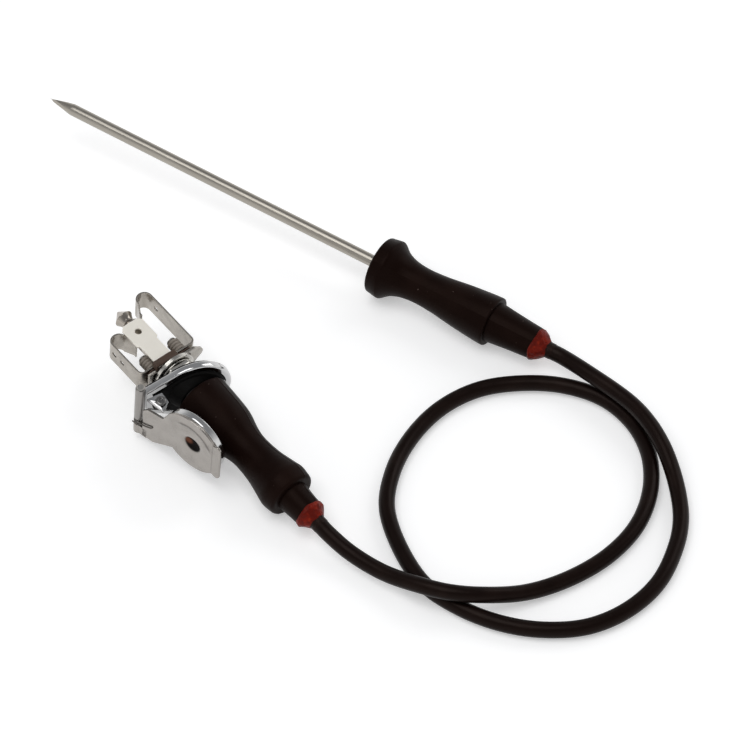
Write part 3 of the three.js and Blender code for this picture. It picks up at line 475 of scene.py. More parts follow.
def sealant_bead(name, axis, sleeve_end, way, sleeve_radius, seed):
    thin = CABLE_RADIUS - 0.4
    rings = []
    for i in range(SEALANT_RINGS):
        u = i / (SEALANT_RINGS - 1)
        ring = []
        for j in range(SEALANT_SIDES):
            angle = 2 * math.pi * j / SEALANT_SIDES
            start = -SEALANT_COVER * (0.9 + 1.1 * wander(angle, seed))
            end = SEALANT_LENGTH + SEALANT_TAIL + 0.2 * wander(angle, seed + 2)
            station = start + (end - start) * u
            hump = sleeve_radius + 0.15 * wander(angle, seed + 4)
            fall = SEALANT_FOOT + (thin - SEALANT_FOOT) * min(max((station - 0.4) / 3.6, 0), 1) ** 0.8
            radius = min(hump, fall + 0.5) if station > 0 else sleeve_radius + 0.12
            rise = math.sin(math.pi * min(u * 1.35, 1)) * (1 + wander(angle * 2 + 3 * u, seed + 6))
            radius = max(radius + SEALANT_SWELL * rise, CABLE_RADIUS + 0.1)
            if i == 0:
                radius = sleeve_radius - 0.08
            if i == SEALANT_RINGS - 1:
                radius = CABLE_RADIUS - 0.05
            ring.append(around(axis, radius, angle, sleeve_end + way * station))
        rings.append(ring)
    return ring_skin(name, rings, sharp=60)


def sealant_finish(name, mouth, way):
    """Red silicone, darker where it is thin, with a wet sheen and wiped ridges. Its smeared end on the cable,
    beyond the mouth along the way, has the jacket's black showing through."""
    skin = Finish(name, {"Specular IOR Level": 0.14, "Specular Tint": (1, 0.7, 0.6, 1)})
    thin = skin.noise(2.6, 2).above(0.42, 0.62)
    smeared = (skin.along(way, mouth) + skin.noise(2, 2) * (1.6 * MM)).above(4.6 * MM, 4.9 * MM)
    bright = skin.mix(skin.noise(1.1, 2).above(0.5, 0.7), (0.16, 0.008, 0.003, 1), (0.22, 0.016, 0.005, 1))
    red = skin.mix(thin, bright, (0.1, 0.0045, 0.002, 1))
    skin.link("Base Color", skin.mix(smeared, red, (0.0065, 0.003, 0.0024, 1)))
    skin.link("Roughness", 0.25 + skin.noise(1.5, 2) * 0.25)
    skin.bump(skin.noise(1.4, 2) + 0.5 * skin.noise(0.5, 2), 0.3)
    return skin


for end, axis, mouth, way, radius, seed in (
    ("probe", probe, probe_sleeve_end, -1, SLEEVE_REAR, 1.3),
    ("plug", plug, plug_sleeve_end, 1, GRIP_SLEEVE_REAR, 4.1),
):
    bead = sealant_bead(f"{end}_sealant_bead", axis, mouth, way, radius, seed)
    outward = axis.to_3x3() @ Vector((0, 0, way))
    sealant = sealant_finish(f"red_sealant_at_{end}", at(axis, 0, 0, mouth), outward)
    fit(bead, f"{end}_sealant", "probe_lead", sealant)

# ---- Needle ---------------------------------------------------------------------------------------------
# A drawn stainless tube of four millimetres, closed at its end and ground to a point with three flats. It is
# centreless ground, so fine rings run round it, and polished lengthwise by use.
NEEDLE_REACH = 127.5
NEEDLE_POINT = 9
NEEDLE_TAIL = 20
NEEDLE_SIDES = 72
POINT_RADIUS = 0.3
POINT_FLATS = 3
POINT_TURN = math.radians(80)


def needle_mesh():
    foot = NEEDLE_REACH - NEEDLE_POINT
    along_shaft = [-NEEDLE_TAIL, -NEEDLE_TAIL + 0.2, *np.linspace(0, foot - 1, 24)]
    rings = []
    for station in [*along_shaft, *np.linspace(foot, NEEDLE_REACH, 40)]:
        gone = max(0.0, (station - foot) / NEEDLE_POINT)
        cone = NEEDLE_RADIUS * (1 - gone) + POINT_RADIUS * gone
        flat = NEEDLE_RADIUS * (1 - gone * 1.12) + POINT_RADIUS * 0.5
        ring = []
        for i in range(NEEDLE_SIDES):
            angle = 2 * math.pi * i / NEEDLE_SIDES
            off = (angle - POINT_TURN) % (2 * math.pi / POINT_FLATS) - math.pi / POINT_FLATS
            radius = max(min(cone, flat / math.cos(off)), 0.06) if gone else NEEDLE_RADIUS
            ring.append(around(probe, radius, angle, station))
        rings.append(ring)
    return ring_skin("needle_shaft", rings, sharp=24)


def ground_steel():
    """Ground stainless steel: rings round it, long fine scratches, and a warm grey cast."""
    skin = Finish("ground_steel", {"Metallic": 1})
    way = tuple(needle_way)
    rings = skin.noise(0.05, 1, (way, 0.25))
    lines = skin.noise(0.12, 2, (way, 60))
    haze = skin.noise(14, 2)
    skin.link("Base Color", skin.mix(haze, (0.32, 0.297, 0.26, 1), (0.4, 0.372, 0.328, 1)))
    skin.link("Roughness", 0.18 + lines * 0.18 + haze * 0.06)
    skin.bump(rings * 0.4 + lines, 0.006)
    return skin


fit(needle_mesh(), "needle_tube", "probe_lead", ground_steel())

# ---- Plug handle ----------------------------------------------------------------------------------------
# The same silicone moulded over the jack's shank. Its front is full, its waist is drawn in and its rear
# swells into a round shoulder, so that it pulls well with wet fingers.
GRIP_FRONT = 9.5
GRIP_WAIST = 6.35
GRIP_WAIST_STATION = 29
GRIP_REAR = 8.6
GRIP_REAR_STATION = 45.6
JACK_RADIUS = 6.35 / 2
grip_hole = JACK_RADIUS + 0.15
grip_section = [
    *arc(GRIP_FRONT - 1, GRIP_START + 1, 1, -90, -5, 8),
    *smooth_section([
        (GRIP_FRONT, GRIP_START + 1.3), (GRIP_FRONT - 0.2, 10.7), (GRIP_FRONT - 0.9, 19.2),
        (GRIP_WAIST + 0.6, 25.2), (GRIP_WAIST, GRIP_WAIST_STATION), (GRIP_WAIST + 0.4, 36.2),
        (GRIP_REAR - 0.6, 42.6), (GRIP_REAR, GRIP_REAR_STATION), (GRIP_REAR - 0.25, grip_rear - 1.6),
    ], 6),
    *arc(GRIP_REAR - 1.65, grip_rear - 1.3, 1.3, 10, 90, 8), (mouth_radius, grip_rear),
    (mouth_radius, grip_rear - SPIGOT_LENGTH), (grip_hole, grip_rear - SPIGOT_LENGTH),
    (grip_hole, GRIP_START + 0.4), (grip_hole + 0.4, GRIP_START),
]
grip_skin = turned("plug_handle_moulding", grip_section, plug, seams=PLUG_SEAMS)
fit(grip_skin, "plug_handle", "probe_lead", silicone)

# ---- Jack plug ------------------------------------------------------------------------------------------
# A quarter-inch jack turned from brass and plated with nickel: a pointed tip with its waist, a black
# insulating ring and the long shank. Only its tip shows, between the two contacts behind the socket.
JACK_TIP_STATION = -38
JACK_CONE = 3.2
JACK_HEAD = 8.2
JACK_NECK = 2.2
RING_LENGTH = 1
ROD_RADIUS = 0.9
LINER_RADIUS = 1.9
SHANK_TAIL = 9


def plated(name, colour, roughness, grain):
    """Nickel or chrome plate: a clean metal with fine handling marks, its grain in millimetres."""
    skin = Finish(name, {"Metallic": 1})
    cloud = skin.noise(3.5, 3)
    marks = skin.noise(grain, 2)
    dull = tuple(c * 0.8 for c in colour)
    skin.link("Base Color", skin.mix(cloud.above(0.35, 0.75), (*colour, 1), (*dull, 1)))
    skin.link("Roughness", roughness * 0.7 + cloud * (roughness * 0.6) + marks.above(0.6, 0.75) * 0.07)
    skin.bump(marks + 2 * cloud, 0.01)
    return skin


def chamfered(inner, outer, low, high, edge):
    """The half section of a ring with its outer corners taken off."""
    side = [(outer - edge, low), (outer, low + edge), (outer, high - edge), (outer - edge, high)]
    return [(inner, low), *side, (inner, high)]


head_rear = JACK_TIP_STATION + JACK_HEAD
ring_front = head_rear + 0.05
shank_front = ring_front + RING_LENGTH + 0.05
shank_rear = GRIP_START + SHANK_TAIL
tip_section = [(0, JACK_TIP_STATION + 0.05), (0.35, JACK_TIP_STATION + 0.12)]
tip_section += [(JACK_RADIUS - 0.28, JACK_TIP_STATION + JACK_CONE - 0.4)]
tip_section += arc(JACK_RADIUS - 0.3, JACK_TIP_STATION + JACK_CONE, 0.3, -35, 45, 5)
tip_section += [(radius, JACK_TIP_STATION + back) for radius, back in (
    (JACK_RADIUS - 0.5, JACK_CONE + 0.9), (JACK_NECK + 0.18, JACK_CONE + 1.5), (JACK_NECK, JACK_CONE + 2.0),
    (JACK_NECK + 0.12, JACK_CONE + 2.6), (JACK_RADIUS - 0.2, JACK_HEAD - 1.7), (JACK_RADIUS, JACK_HEAD - 1.4),
    (JACK_RADIUS, JACK_HEAD - 0.1), (JACK_RADIUS - 0.1, JACK_HEAD), (ROD_RADIUS, JACK_HEAD),
)]
tip_section += [(ROD_RADIUS, shank_rear + 3), (0, shank_rear + 3)]
ring_section = chamfered(ROD_RADIUS + 0.05, JACK_RADIUS, ring_front, shank_front - 0.05, 0.12)
shank_section = [
    (LINER_RADIUS, shank_front), (JACK_RADIUS - 0.12, shank_front), (JACK_RADIUS, shank_front + 0.12),
    (JACK_RADIUS, shank_rear), (LINER_RADIUS, shank_rear),
]
jack_nickel = plated("jack_nickel", (0.38, 0.345, 0.305), 0.12, 0.3)
ring_plastic = Finish("ring_plastic", {"Base Color": (0.012, 0.012, 0.012, 1)})
ring_plastic.link("Roughness", 0.3 + ring_plastic.noise(0.8, 2) * 0.2)
for name, node, section, finish, slot in (
    ("jack_tip_turned", "jack_tip", tip_section, jack_nickel, "nickel"),
    ("jack_ring_turned", "jack_insulator", ring_section, ring_plastic, "plastic"),
    ("jack_shank_turned", "jack_shank", shank_section, jack_nickel, "nickel"),
):
    fit(turned(name, section, plug, sides=96, sharp=28), node, "probe_lead", finish)

# ---- Threaded bushing, nuts and washer ------------------------------------------------------------------
# The socket's bushing is turned from brass, threaded and nickel-plated, with a shoulder that the wafers are
# clamped on. A hexagon nut behind the panel and a thin round nut in front of it hold the socket there.
BUSHING_RADIUS = 4.7
BUSHING_FRONT = 3.95
BUSHING_BORE = JACK_RADIUS + 0.35
SHOULDER_FRONT = -8.2
SHOULDER_THICKNESS = 1.5
FLANGE_RADIUS = 7.5
DRESS_NUT_RADIUS = 6.4
THREAD_PITCH = 0.75
THREAD_DEPTH = 0.28
WASHER_FRONT = -7.5
WASHER_THICKNESS = 0.4
DRESS_NUT_THICKNESS = 1
EDGE_ANGLE = math.radians(30)  # a sharper turn is rounded
SAME_CORNER = 2e-6  # metres


def round_edges(made, bevel, segments=3):
    edge = made.modifiers.new("rounded_edges", "BEVEL")
    edge.width = bevel * MM
    edge.segments = segments
    edge.limit_method = "ANGLE"
    edge.angle_limit = EDGE_ANGLE
    edge.harden_normals = True
    return made


def soften(node, bevel, segments=2):
    """Smooth shading and a small rounding on a piece that keeps its own shape."""
    kept = nodes[node]
    for face in kept.data.polygons:
        face.use_smooth = True
    kept.data.set_sharp_from_angle(angle=EDGE_ANGLE)
    kept.modifiers.new("joined_corners", "WELD").merge_threshold = SAME_CORNER
    return round_edges(kept, bevel, segments)


thread = []
crest = BUSHING_FRONT - 0.5
while crest > SHOULDER_FRONT + 0.4:
    thread += [(BUSHING_RADIUS, crest), (BUSHING_RADIUS - THREAD_DEPTH, crest - THREAD_PITCH / 2)]
    crest -= THREAD_PITCH
shoulder_rear = SHOULDER_FRONT - SHOULDER_THICKNESS
nut_rear = BUSHING_FRONT - DRESS_NUT_THICKNESS
bushing_section = [
    (BUSHING_BORE + 0.3, BUSHING_FRONT), (BUSHING_RADIUS - 0.35, BUSHING_FRONT), *thread,
    (BUSHING_RADIUS - 0.1, SHOULDER_FRONT), (FLANGE_RADIUS - 0.2, SHOULDER_FRONT),
    (FLANGE_RADIUS, SHOULDER_FRONT - 0.2), (FLANGE_RADIUS, shoulder_rear + 0.2),
    (FLANGE_RADIUS - 0.2, shoulder_rear), (BUSHING_BORE, shoulder_rear), (BUSHING_BORE, BUSHING_FRONT - 0.3),
]
nut_bore = BUSHING_RADIUS + 0.1
dress_section = [
    (nut_bore, nut_rear), (DRESS_NUT_RADIUS - 0.15, nut_rear),
    *arc(DRESS_NUT_RADIUS - 0.35, BUSHING_FRONT - 0.35, 0.35, 0, 90, 5), (nut_bore, BUSHING_FRONT),
]
washer_rear = WASHER_FRONT - WASHER_THICKNESS
washer_section = chamfered(BUSHING_RADIUS + 0.2, DRESS_NUT_RADIUS, washer_rear, WASHER_FRONT, 0.1)
bushing_nickel = plated("bushing_nickel", (0.6, 0.58, 0.54), 0.2, 0.3)
# The dress nut's near-black is painted shade: it keeps the nut as dark as the shaded gap between the plug
# handle's front and the bezel.
dress_nut_painted_dark = plated("dress_nut_painted_shade", (0.035, 0.033, 0.032), 0.16, 0.3)
for name, node, section, finish, slot in (
    ("bushing_threaded", "jack_bushing", bushing_section, bushing_nickel, "nickel"),
    ("dress_nut_turned", "dress_nut", dress_section, dress_nut_painted_dark, "nickel"),
    ("washer_pressed", "lock_washer", washer_section, bushing_nickel, "steel"),
):
    fit(turned(name, section, plug, sides=128, sharp=28), node, "socket", finish)
bushing_nickel.on(soften("lock_nut", 0.25, 3))

# ---- Frame plate, wafer and rivets ----------------------------------------------------------------------
# The plated frame plate and a thin wafer of brown laminated phenolic carry the contacts. Two steel rivets
# hold the stack together, each with a ribbed bush of pressed fibre under its head.
FRAME_FRONT = -10.0
FOOT_FRONT = -12.0
FOOT_REAR = -12.6
RIVET_OFFSET = 5.7
RIVET_RADIUS = 0.9
RIVET_HEAD = 1.6
RIVET_HEAD_HEIGHT = 0.8
RIVET_RISE = 1.8
BUSH_RADIUS = 2.1
BUSH_LENGTH = 4.4
BUSH_RIBS = 4


def moved(axis, x, y, z):
    return axis @ Matrix.Translation(Vector((x, y, z)) * MM)


def laminate(name, way):
    """Paper-filled phenolic: a satin brown skin with faint layers across the given way."""
    skin = Finish(name, {"Specular IOR Level": 0.4})
    layers = skin.noise(0.16, 2, (way, 0.2))
    cloud = skin.noise(3, 3)
    brown = skin.mix(cloud, (0.030, 0.0145, 0.0075, 1), (0.062, 0.031, 0.017, 1))
    skin.link("Base Color", skin.mix(layers * 0.5, brown, (0.085, 0.047, 0.028, 1)))
    skin.link("Roughness", 0.35 + cloud * 0.25)
    skin.bump(layers, 0.03)
    return skin


def mottled(name, constants, cloud, first, second, grain, dullness, more):
    """Two colours in clouds of a given size and detail, and a dullness that rises by more in finer ones."""
    skin = Finish(name, constants)
    skin.link("Base Color", skin.mix(skin.noise(*cloud), (*first, 1), (*second, 1)))
    skin.link("Roughness", dullness + skin.noise(grain, 2) * more)
    return skin


phenolic = laminate("laminated_phenolic", tuple(jack_way))
frame_nickel = plated("frame_nickel", (0.38, 0.355, 0.32), 0.26, 0.25)
phenolic.on(soften("rear_wafer", 0.08))
frame_nickel.on(soften("jack_frame", 0.12))

bush_front = FOOT_REAR - SEAT
bush_rear = bush_front - BUSH_LENGTH
head_seat = bush_rear - SEAT
rib = BUSH_LENGTH / BUSH_RIBS
ribs = []
for i in range(BUSH_RIBS):
    top = bush_front - i * rib
    ribs += [(BUSH_RADIUS - 0.15, top - 0.02), (BUSH_RADIUS, top - 0.15), (BUSH_RADIUS, top - rib + 0.35),
             (BUSH_RADIUS - 0.15, top - rib + 0.25), (BUSH_RADIUS - 0.4, top - rib + 0.2)]
bush_bore = RIVET_RADIUS + 0.1
bush_section = [(bush_bore, bush_front), *ribs, (BUSH_RADIUS - 0.4, bush_rear), (bush_bore, bush_rear)]
tail_rear = FRAME_FRONT - 0.3
rivet_section = [
    (0, FRAME_FRONT), (RIVET_HEAD, FRAME_FRONT), (RIVET_HEAD, tail_rear), (RIVET_RADIUS, tail_rear),
    (RIVET_RADIUS, head_seat), (RIVET_HEAD, head_seat),
    *[(RIVET_HEAD * r, head_seat - 0.1 - (RIVET_HEAD_HEIGHT - 0.1) * z) for r, z in arc(0, 0, 1, 0, 75, 5)],
    (0, head_seat - RIVET_HEAD_HEIGHT),
]
fibre_shades = (0.17, 0.145, 0.12), (0.34, 0.30, 0.26)
fibre = mottled("pressed_fibre", {"Specular IOR Level": 0.3}, (0.6, 3), *fibre_shades, 0.4, 0.55, 0.2)
fibre.bump(fibre.noise(0.2, 3), 0.03)
rivet_steel = plated("rivet_steel", (0.5, 0.48, 0.45), 0.28, 0.2)
for side, x in (("right", RIVET_OFFSET), ("left", -RIVET_OFFSET)):
    rivet_axis = moved(plug, x, RIVET_RISE, 0)
    for kind, section, finish, slot in (("rivet", rivet_section, rivet_steel, "steel"),
                                        ("rivet_bush", bush_section, fibre, "fibre")):
        made = turned(f"{kind}_{side}_turned", section, rivet_axis, sides=48, sharp=30)
        fit(made, f"{kind}_{side}", "socket", finish)

# ---- Contact blades -------------------------------------------------------------------------------------
# Two springs of hard nickel silver, each punched and bent from one strip: a foot under the rivet, an outer
# leg with its slots, a hairpin, and a leg that comes in to the jack and turns out at its end.
BLADE_THICKNESS = 0.6
BLADE_HALF = 4
BLADE_LINE = 10.9  # from the jack's axis to the middle of the outer leg
BLADE_BEND = 1.6
HAIRPIN_RADIUS = 2.6
TURN_IN = 6.2  # from the hairpin's top to where the inner leg turns out again
KICK_RADIUS = 1.2
FOOT_END = 3.6
CONTACT_POINT = JACK_RADIUS + 0.35 + BLADE_THICKNESS
SLOT_HALF = 0.7
SLOT_REACH = 0.95


def fill(built, outer, holes, lift):
    """Fills a flat outline that has holes. The function lift turns a flat point into a place in space."""
    edges = []
    for loop in (outer, *holes):
        corners = [built.verts.new(lift(x, y)) for x, y in loop]
        edges += [built.edges.new(pair) for pair in zip(corners, corners[1:] + corners[:1])]
    bmesh.ops.triangle_fill(built, use_beauty=True, edges=edges)


def rounded_slot(x, y, half_x, half_y):
    radius = min(half_x, half_y) * 0.85
    dx, dy = half_x - radius, half_y - radius
    corners = ((1, 1, 0), (-1, 1, 90), (-1, -1, 180), (1, -1, 270))
    return [p for sx, sy, start in corners
            for p in arc(x + sx * dx, y + sy * dy, radius, start, start + 90, 5)]


def sheet_piece(built, name, thickness, bevel):
    """Gives a thin skin its thickness, evenly to both sides, and rounds its edges."""
    bmesh.ops.remove_doubles(built, verts=built.verts, dist=SAME_CORNER)
    made = finished(name, built, 180)
    solid = made.modifiers.new("thickness", "SOLIDIFY")
    solid.thickness = thickness * MM
    solid.offset = 0
    solid.use_even_offset = True
    return round_edges(made, bevel)


def contact_blade(name, side, reach, slots, tapered):
    """A blade to one side of the jack, whose hairpin reaches the given station behind the socket."""
    built = bmesh.new()
    foot = FOOT_FRONT - BLADE_THICKNESS / 2
    top = -reach + HAIRPIN_RADIUS + BLADE_THICKNESS / 2
    end_share = 0.7 if tapered else 1

    def run(line, shares):
        rows = [[built.verts.new(at(plug, side * x, s * share * BLADE_HALF, z)) for s in (-1, 1)]
                for (x, z), share in zip(line, shares)]
        for (a, b), (c, d) in zip(rows, rows[1:]):
            built.faces.new((a, b, d, c))

    def box(low, high):
        return [(low, -BLADE_HALF), (high, -BLADE_HALF), (high, BLADE_HALF), (low, BLADE_HALF)]

    rivet_hole = arc(RIVET_OFFSET, RIVET_RISE, RIVET_RADIUS + SEAT, 0, 345, 23)
    bend_start = BLADE_LINE - BLADE_BEND
    fill(built, box(FOOT_END, bend_start), [rivet_hole], lambda x, y: at(plug, side * x, y, foot))
    bend = arc(bend_start, foot - BLADE_BEND, BLADE_BEND, 90, 0, 10)
    run(bend, [1] * len(bend))
    punched = [rounded_slot(-reach + s, 0, SLOT_REACH, SLOT_HALF) for s in slots]
    fill(built, box(foot - BLADE_BEND, top), punched, lambda z, y: at(plug, side * BLADE_LINE, y, z))
    hairpin = arc(BLADE_LINE - HAIRPIN_RADIUS, top, HAIRPIN_RADIUS, 0, -180, 28)
    run(hairpin, [1] * len(hairpin))
    inner = BLADE_LINE - 2 * HAIRPIN_RADIUS
    kick = arc(CONTACT_POINT + KICK_RADIUS, -reach + TURN_IN, KICK_RADIUS, 205, 150, 8)
    leg = [(inner, top), ((inner + kick[0][0]) / 2, (top + kick[0][1]) / 2), *kick]
    run(leg, [1, (1 + end_share) / 2, *[end_share] * len(kick)])
    return sheet_piece(built, name, BLADE_THICKNESS, 0.12)


nickel_silver = plated("nickel_silver", (0.4, 0.37, 0.33), 0.26, 0.2)
for contact, side, reach, slots, tapered in (
    ("tip", 1, 37.6, (6,), True),
    ("sleeve", -1, 29.6, (4.2, 8.2), False),
):
    blade = contact_blade(f"{contact}_contact_blade", side, reach, slots, tapered)
    fit(blade, f"{contact}_contact", f"{contact}_spring", nickel_silver)

# ---- Push-on tab and its block --------------------------------------------------------------------------
# A tinned brass tab for a push-on connector, punched with a latching hole. It is pressed into a block of
# brown phenolic behind the wafers.
TAB_OFFSET = -2
TAB_HEIGHT = 5.4
TAB_REACH = 29.4
TAB_NECK = 3.3
TAB_HALF = 4.1
TAB_BLADE_LENGTH = 9
TAB_CHAMFER = 1.3
TAB_THICKNESS = 0.8
TAB_HOLE_RADIUS = 1.15
TAB_HOLE_BACK = 4.4  # from the tab's end

phenolic.on(soften("tab_block", 0.15))
tab_step = -TAB_REACH + TAB_BLADE_LENGTH
tab_side = [
    (TAB_NECK, FRAME_FRONT - 0.2), (TAB_NECK, tab_step + 0.6), (TAB_HALF, tab_step),
    (TAB_HALF, -TAB_REACH + TAB_CHAMFER), (TAB_HALF - TAB_CHAMFER, -TAB_REACH),
]
tab_outline = [(TAB_OFFSET - x, z) for x, z in tab_side] + [(TAB_OFFSET + x, z) for x, z in tab_side[::-1]]
tab_hole = arc(TAB_OFFSET, -TAB_REACH + TAB_HOLE_BACK, TAB_HOLE_RADIUS, 0, 350, 35)
tab_skin = bmesh.new()
fill(tab_skin, tab_outline, [tab_hole], lambda x, z: at(plug, x, TAB_HEIGHT, z))
tab = sheet_piece(tab_skin, "faston_tab_punched", TAB_THICKNESS, 0.16)
tin_shades = (0.97, 0.93, 0.85), (0.9, 0.86, 0.77)
tin_constants = {"Metallic": 0.35, "Specular IOR Level": 0.5}
tinned = mottled("tinned_brass", tin_constants, (2.5, 3), *tin_shades, 0.4, 0.3, 0.2)
tinned.bump(tinned.noise(0.35, 2) + 2 * tinned.noise(2, 2), 0.012)
fit(tab, "faston_tab", "socket", tinned)

# ---- Bezel and hinge ------------------------------------------------------------------------------------
# The lid's bezel is a chromed zinc casting with a raised bright rim round a sunk face, and a long hinge
# barrel on its tail. It sits loosely on the bushing and leans to one side. A rubber gasket lies behind it.
# A thin black rubber sheet over its face rises in a cone to the dress nut. It is painted shade: it keeps
# the sunk face dark, as shade and the dark handle's reflection make it.
BEZEL_LEAN = 20
BEZEL_RADIUS = 12.6
BEZEL_THROW = 1  # from the jack's axis to the middle of the round end
BEZEL_DROP = 1.1
BEZEL_THICKNESS = 2.6
BEZEL_TAIL = 15.2
BEZEL_TAIL_HALF = 5.4
BEZEL_HOLE = 5.8
BEZEL_RIM = 2.1  # width of the raised rim
BEZEL_SINK = 0.35
HINGE_OFFSET = 18.2
HINGE_PROUD = 2.4
HINGE_TOP = 12
KNUCKLE_RADIUS = 1.65
BEZEL_KNUCKLE = 15.6
SPRING_GAP = 2.9
LID_KNUCKLE = 4.2
PIN_RADIUS = 0.75

bezel = plug @ Matrix.Rotation(math.radians(-BEZEL_LEAN), 4, "Y")
hinge = moved(bezel, -HINGE_OFFSET, 0, HINGE_PROUD)
upright = Matrix.Rotation(math.radians(-90), 4, "X")
knuckle_low = HINGE_TOP - BEZEL_KNUCKLE
hinge_low = knuckle_low - SPRING_GAP - LID_KNUCKLE


def joined(name, *pieces):
    """One object that holds the meshes of all the pieces."""
    built = bmesh.new()
    for part in pieces:
        built.from_mesh(part.data)
        bpy.data.meshes.remove(part.data)
    return finished(name, built)


def egg(inset):
    """The bezel's outline, drawn in by the inset: a round end and straight sides to a blunt tail."""
    radius = BEZEL_RADIUS - inset
    half = BEZEL_TAIL_HALF - inset
    tail = BEZEL_TAIL + BEZEL_THROW - inset * 0.4
    tangent = 180 - math.degrees(math.atan2(half, tail) + math.acos(radius / math.hypot(tail, half)))
    low_side = arc(0, 0, radius, -tangent, 0, 48)
    corner = (-tail, -half)
    lower = [*spread((-tail, 0), corner, 8), *spread(corner, low_side[0], 16), *low_side[:-1]]
    whole = [*lower, (radius, 0), *[(x, -y) for x, y in reversed(lower[1:])]]
    return [(x + BEZEL_THROW, y - BEZEL_DROP) for x, y in whole]


def level(outline, height):
    return [(x, y, height) for x, y in outline]


def round_jack(outline, radius, height=None, station=None):
    """A ring of the given radius round the jack, on the bezel's plane at the height or square to the jack at
    the station. Each of its points lies in the direction of a point of the outline."""
    lean = math.radians(BEZEL_LEAN)
    ring = []
    for x, y in outline:
        a = math.atan2(y, x)
        across, along = radius * math.cos(a), station
        if height is not None:
            along = (height + across * math.sin(lean)) / math.cos(lean)
        ring.append((
            across * math.cos(lean) + along * math.sin(lean), radius * math.sin(a),
            along * math.cos(lean) - across * math.sin(lean),
        ))
    return ring


def looped(name, rings, place):
    return ring_skin(name, [[at(place, *point) for point in ring] for ring in rings], closed=True)


def rounding(inset, height, radius, start, end, steps=5):
    """Rings of a rounded edge whose middle lies at the given inset and height."""
    return [level(egg(inset - x), height + y) for x, y in arc(0, 0, radius, start, end, steps)]


def prism(name, outline, low, high, place):
    """A bar of one outline in XZ, from low to high along Y."""
    return ring_skin(name, [[at(place, x, y, z) for x, z in outline] for y in (low, high)], sharp=25)


def knuckle(name, axis, low, length, edge):
    """A barrel round the hinge pin, with rounded ends."""
    bore, rim = PIN_RADIUS + 0.15, KNUCKLE_RADIUS - edge
    section = [
        (bore, 0), (rim, 0), *arc(rim, edge, edge, -60, 0, 3), *arc(rim, length - edge, edge, 0, 60, 3),
        (rim, length), (bore, length),
    ]
    return turned(name, section, moved(axis, 0, low, 0) @ upright, sides=64)


face_height = -BEZEL_SINK
toward = egg(4)
rings = [
    *rounding(0.6, -BEZEL_THICKNESS + 0.6, 0.6, -90, 0), *rounding(0.75, -0.75, 0.75, 0, 90, 8),
    level(egg(BEZEL_RIM - 0.2), 0), level(egg(BEZEL_RIM + 0.1), face_height + 0.1),
    level(egg(BEZEL_RIM + 0.3), face_height), level(egg(BEZEL_RIM + 0.8), face_height),
    round_jack(toward, BEZEL_HOLE + 0.35, height=face_height),
    round_jack(toward, BEZEL_HOLE, height=face_height - 0.3),
    round_jack(toward, BEZEL_HOLE, height=-BEZEL_THICKNESS + 0.2),
    round_jack(toward, BEZEL_HOLE + 0.3, height=-BEZEL_THICKNESS),
]
bezel_plate = looped("bezel_plate", rings, bezel)
barrel = knuckle("upper_barrel", hinge, knuckle_low, BEZEL_KNUCKLE, 0.3)
under = -BEZEL_THICKNESS * 0.75
web_outline = [
    (-HINGE_OFFSET - KNUCKLE_RADIUS * 0.7, HINGE_PROUD - KNUCKLE_RADIUS * 0.7),
    (-HINGE_OFFSET - 0.4, HINGE_PROUD - KNUCKLE_RADIUS + 0.02), (-BEZEL_TAIL - 0.9, under),
    (-BEZEL_TAIL + 1.5, under), (-BEZEL_TAIL + 1.5, -0.35), (-BEZEL_TAIL - 0.1, -0.05),
    (-HINGE_OFFSET + KNUCKLE_RADIUS * 0.95, HINGE_PROUD - 0.5),
    (-HINGE_OFFSET + KNUCKLE_RADIUS * 0.8, HINGE_PROUD - 0.9), (-HINGE_OFFSET + 0.4, HINGE_PROUD - 1.5),
]
web = prism("barrel_web", web_outline, knuckle_low + 0.15, BEZEL_TAIL_HALF - BEZEL_DROP - 0.15, bezel)
casting = joined("bezel_casting", bezel_plate, barrel, web)
chrome = plated("bright_chrome", (0.6, 0.6, 0.6), 0.09, 0.4)


def bezel_finish():
    """Bright chrome that turns to worn, warm grey satin on the hinge barrel."""
    skin = Finish("bezel_chrome", {"Metallic": 1})
    outward = bezel.to_3x3() @ Vector((-1, 0, 0))
    reach = skin.along(outward, bezel.translation)
    on_barrel = reach.above((HINGE_OFFSET - 2.2) * MM, (HINGE_OFFSET - 1.5) * MM)
    cloud = skin.noise(3.5, 3)
    marks = skin.noise(0.4, 2)
    skin.link("Base Color", skin.mix(on_barrel, (0.6, 0.6, 0.6, 1), (0.3, 0.285, 0.27, 1)))
    skin.link("Roughness", 0.06 + cloud * 0.06 + marks.above(0.6, 0.75) * 0.07 + on_barrel * 0.22)
    skin.bump(marks + 2 * cloud, 0.01)
    return skin


fit(casting, "lid_bezel", "bezel", bezel_finish())

rubber_shades = (0.0025, 0.0023, 0.0022), (0.006, 0.0055, 0.005)
rubber = mottled("black_rubber", {"Specular IOR Level": 0.12}, (2, 3), *rubber_shades, 1, 0.6, 0.25)
rubber.bump(rubber.noise(0.25, 2), 0.02)
rubber.on(soften("panel_gasket", 0.12))

# The face seal is a black sheet of painted shade over the bezel's sunk face, where shade falls and the dark
# handle is reflected.
shade_sheet_outline = [(max(x, -BEZEL_TAIL + 2.5), y) for x, y in egg(BEZEL_RIM + 0.45)]
inner_outline = [(max(x, -BEZEL_TAIL + 2.9), y) for x, y in egg(BEZEL_RIM + 0.85)]
shade_sheet_foot = face_height + 0.05
neck = nut_rear - SEAT
shade_sheet_rings = [
    level(shade_sheet_outline, shade_sheet_foot), level(shade_sheet_outline, 0.15), level(inner_outline, 0.45),
    round_jack(toward, 8.2, height=0.45), round_jack(toward, 7.6, height=0.55),
    round_jack(toward, 6.4, station=neck - 0.25), round_jack(toward, 6.0, station=neck),
    round_jack(toward, 5.1, station=neck), round_jack(toward, 5.05, station=neck - 0.2),
    round_jack(toward, 5.05, height=shade_sheet_foot),
]
fit(looped("face_seal_shade_sheet", shade_sheet_rings, bezel), "face_seal", "bezel", rubber)

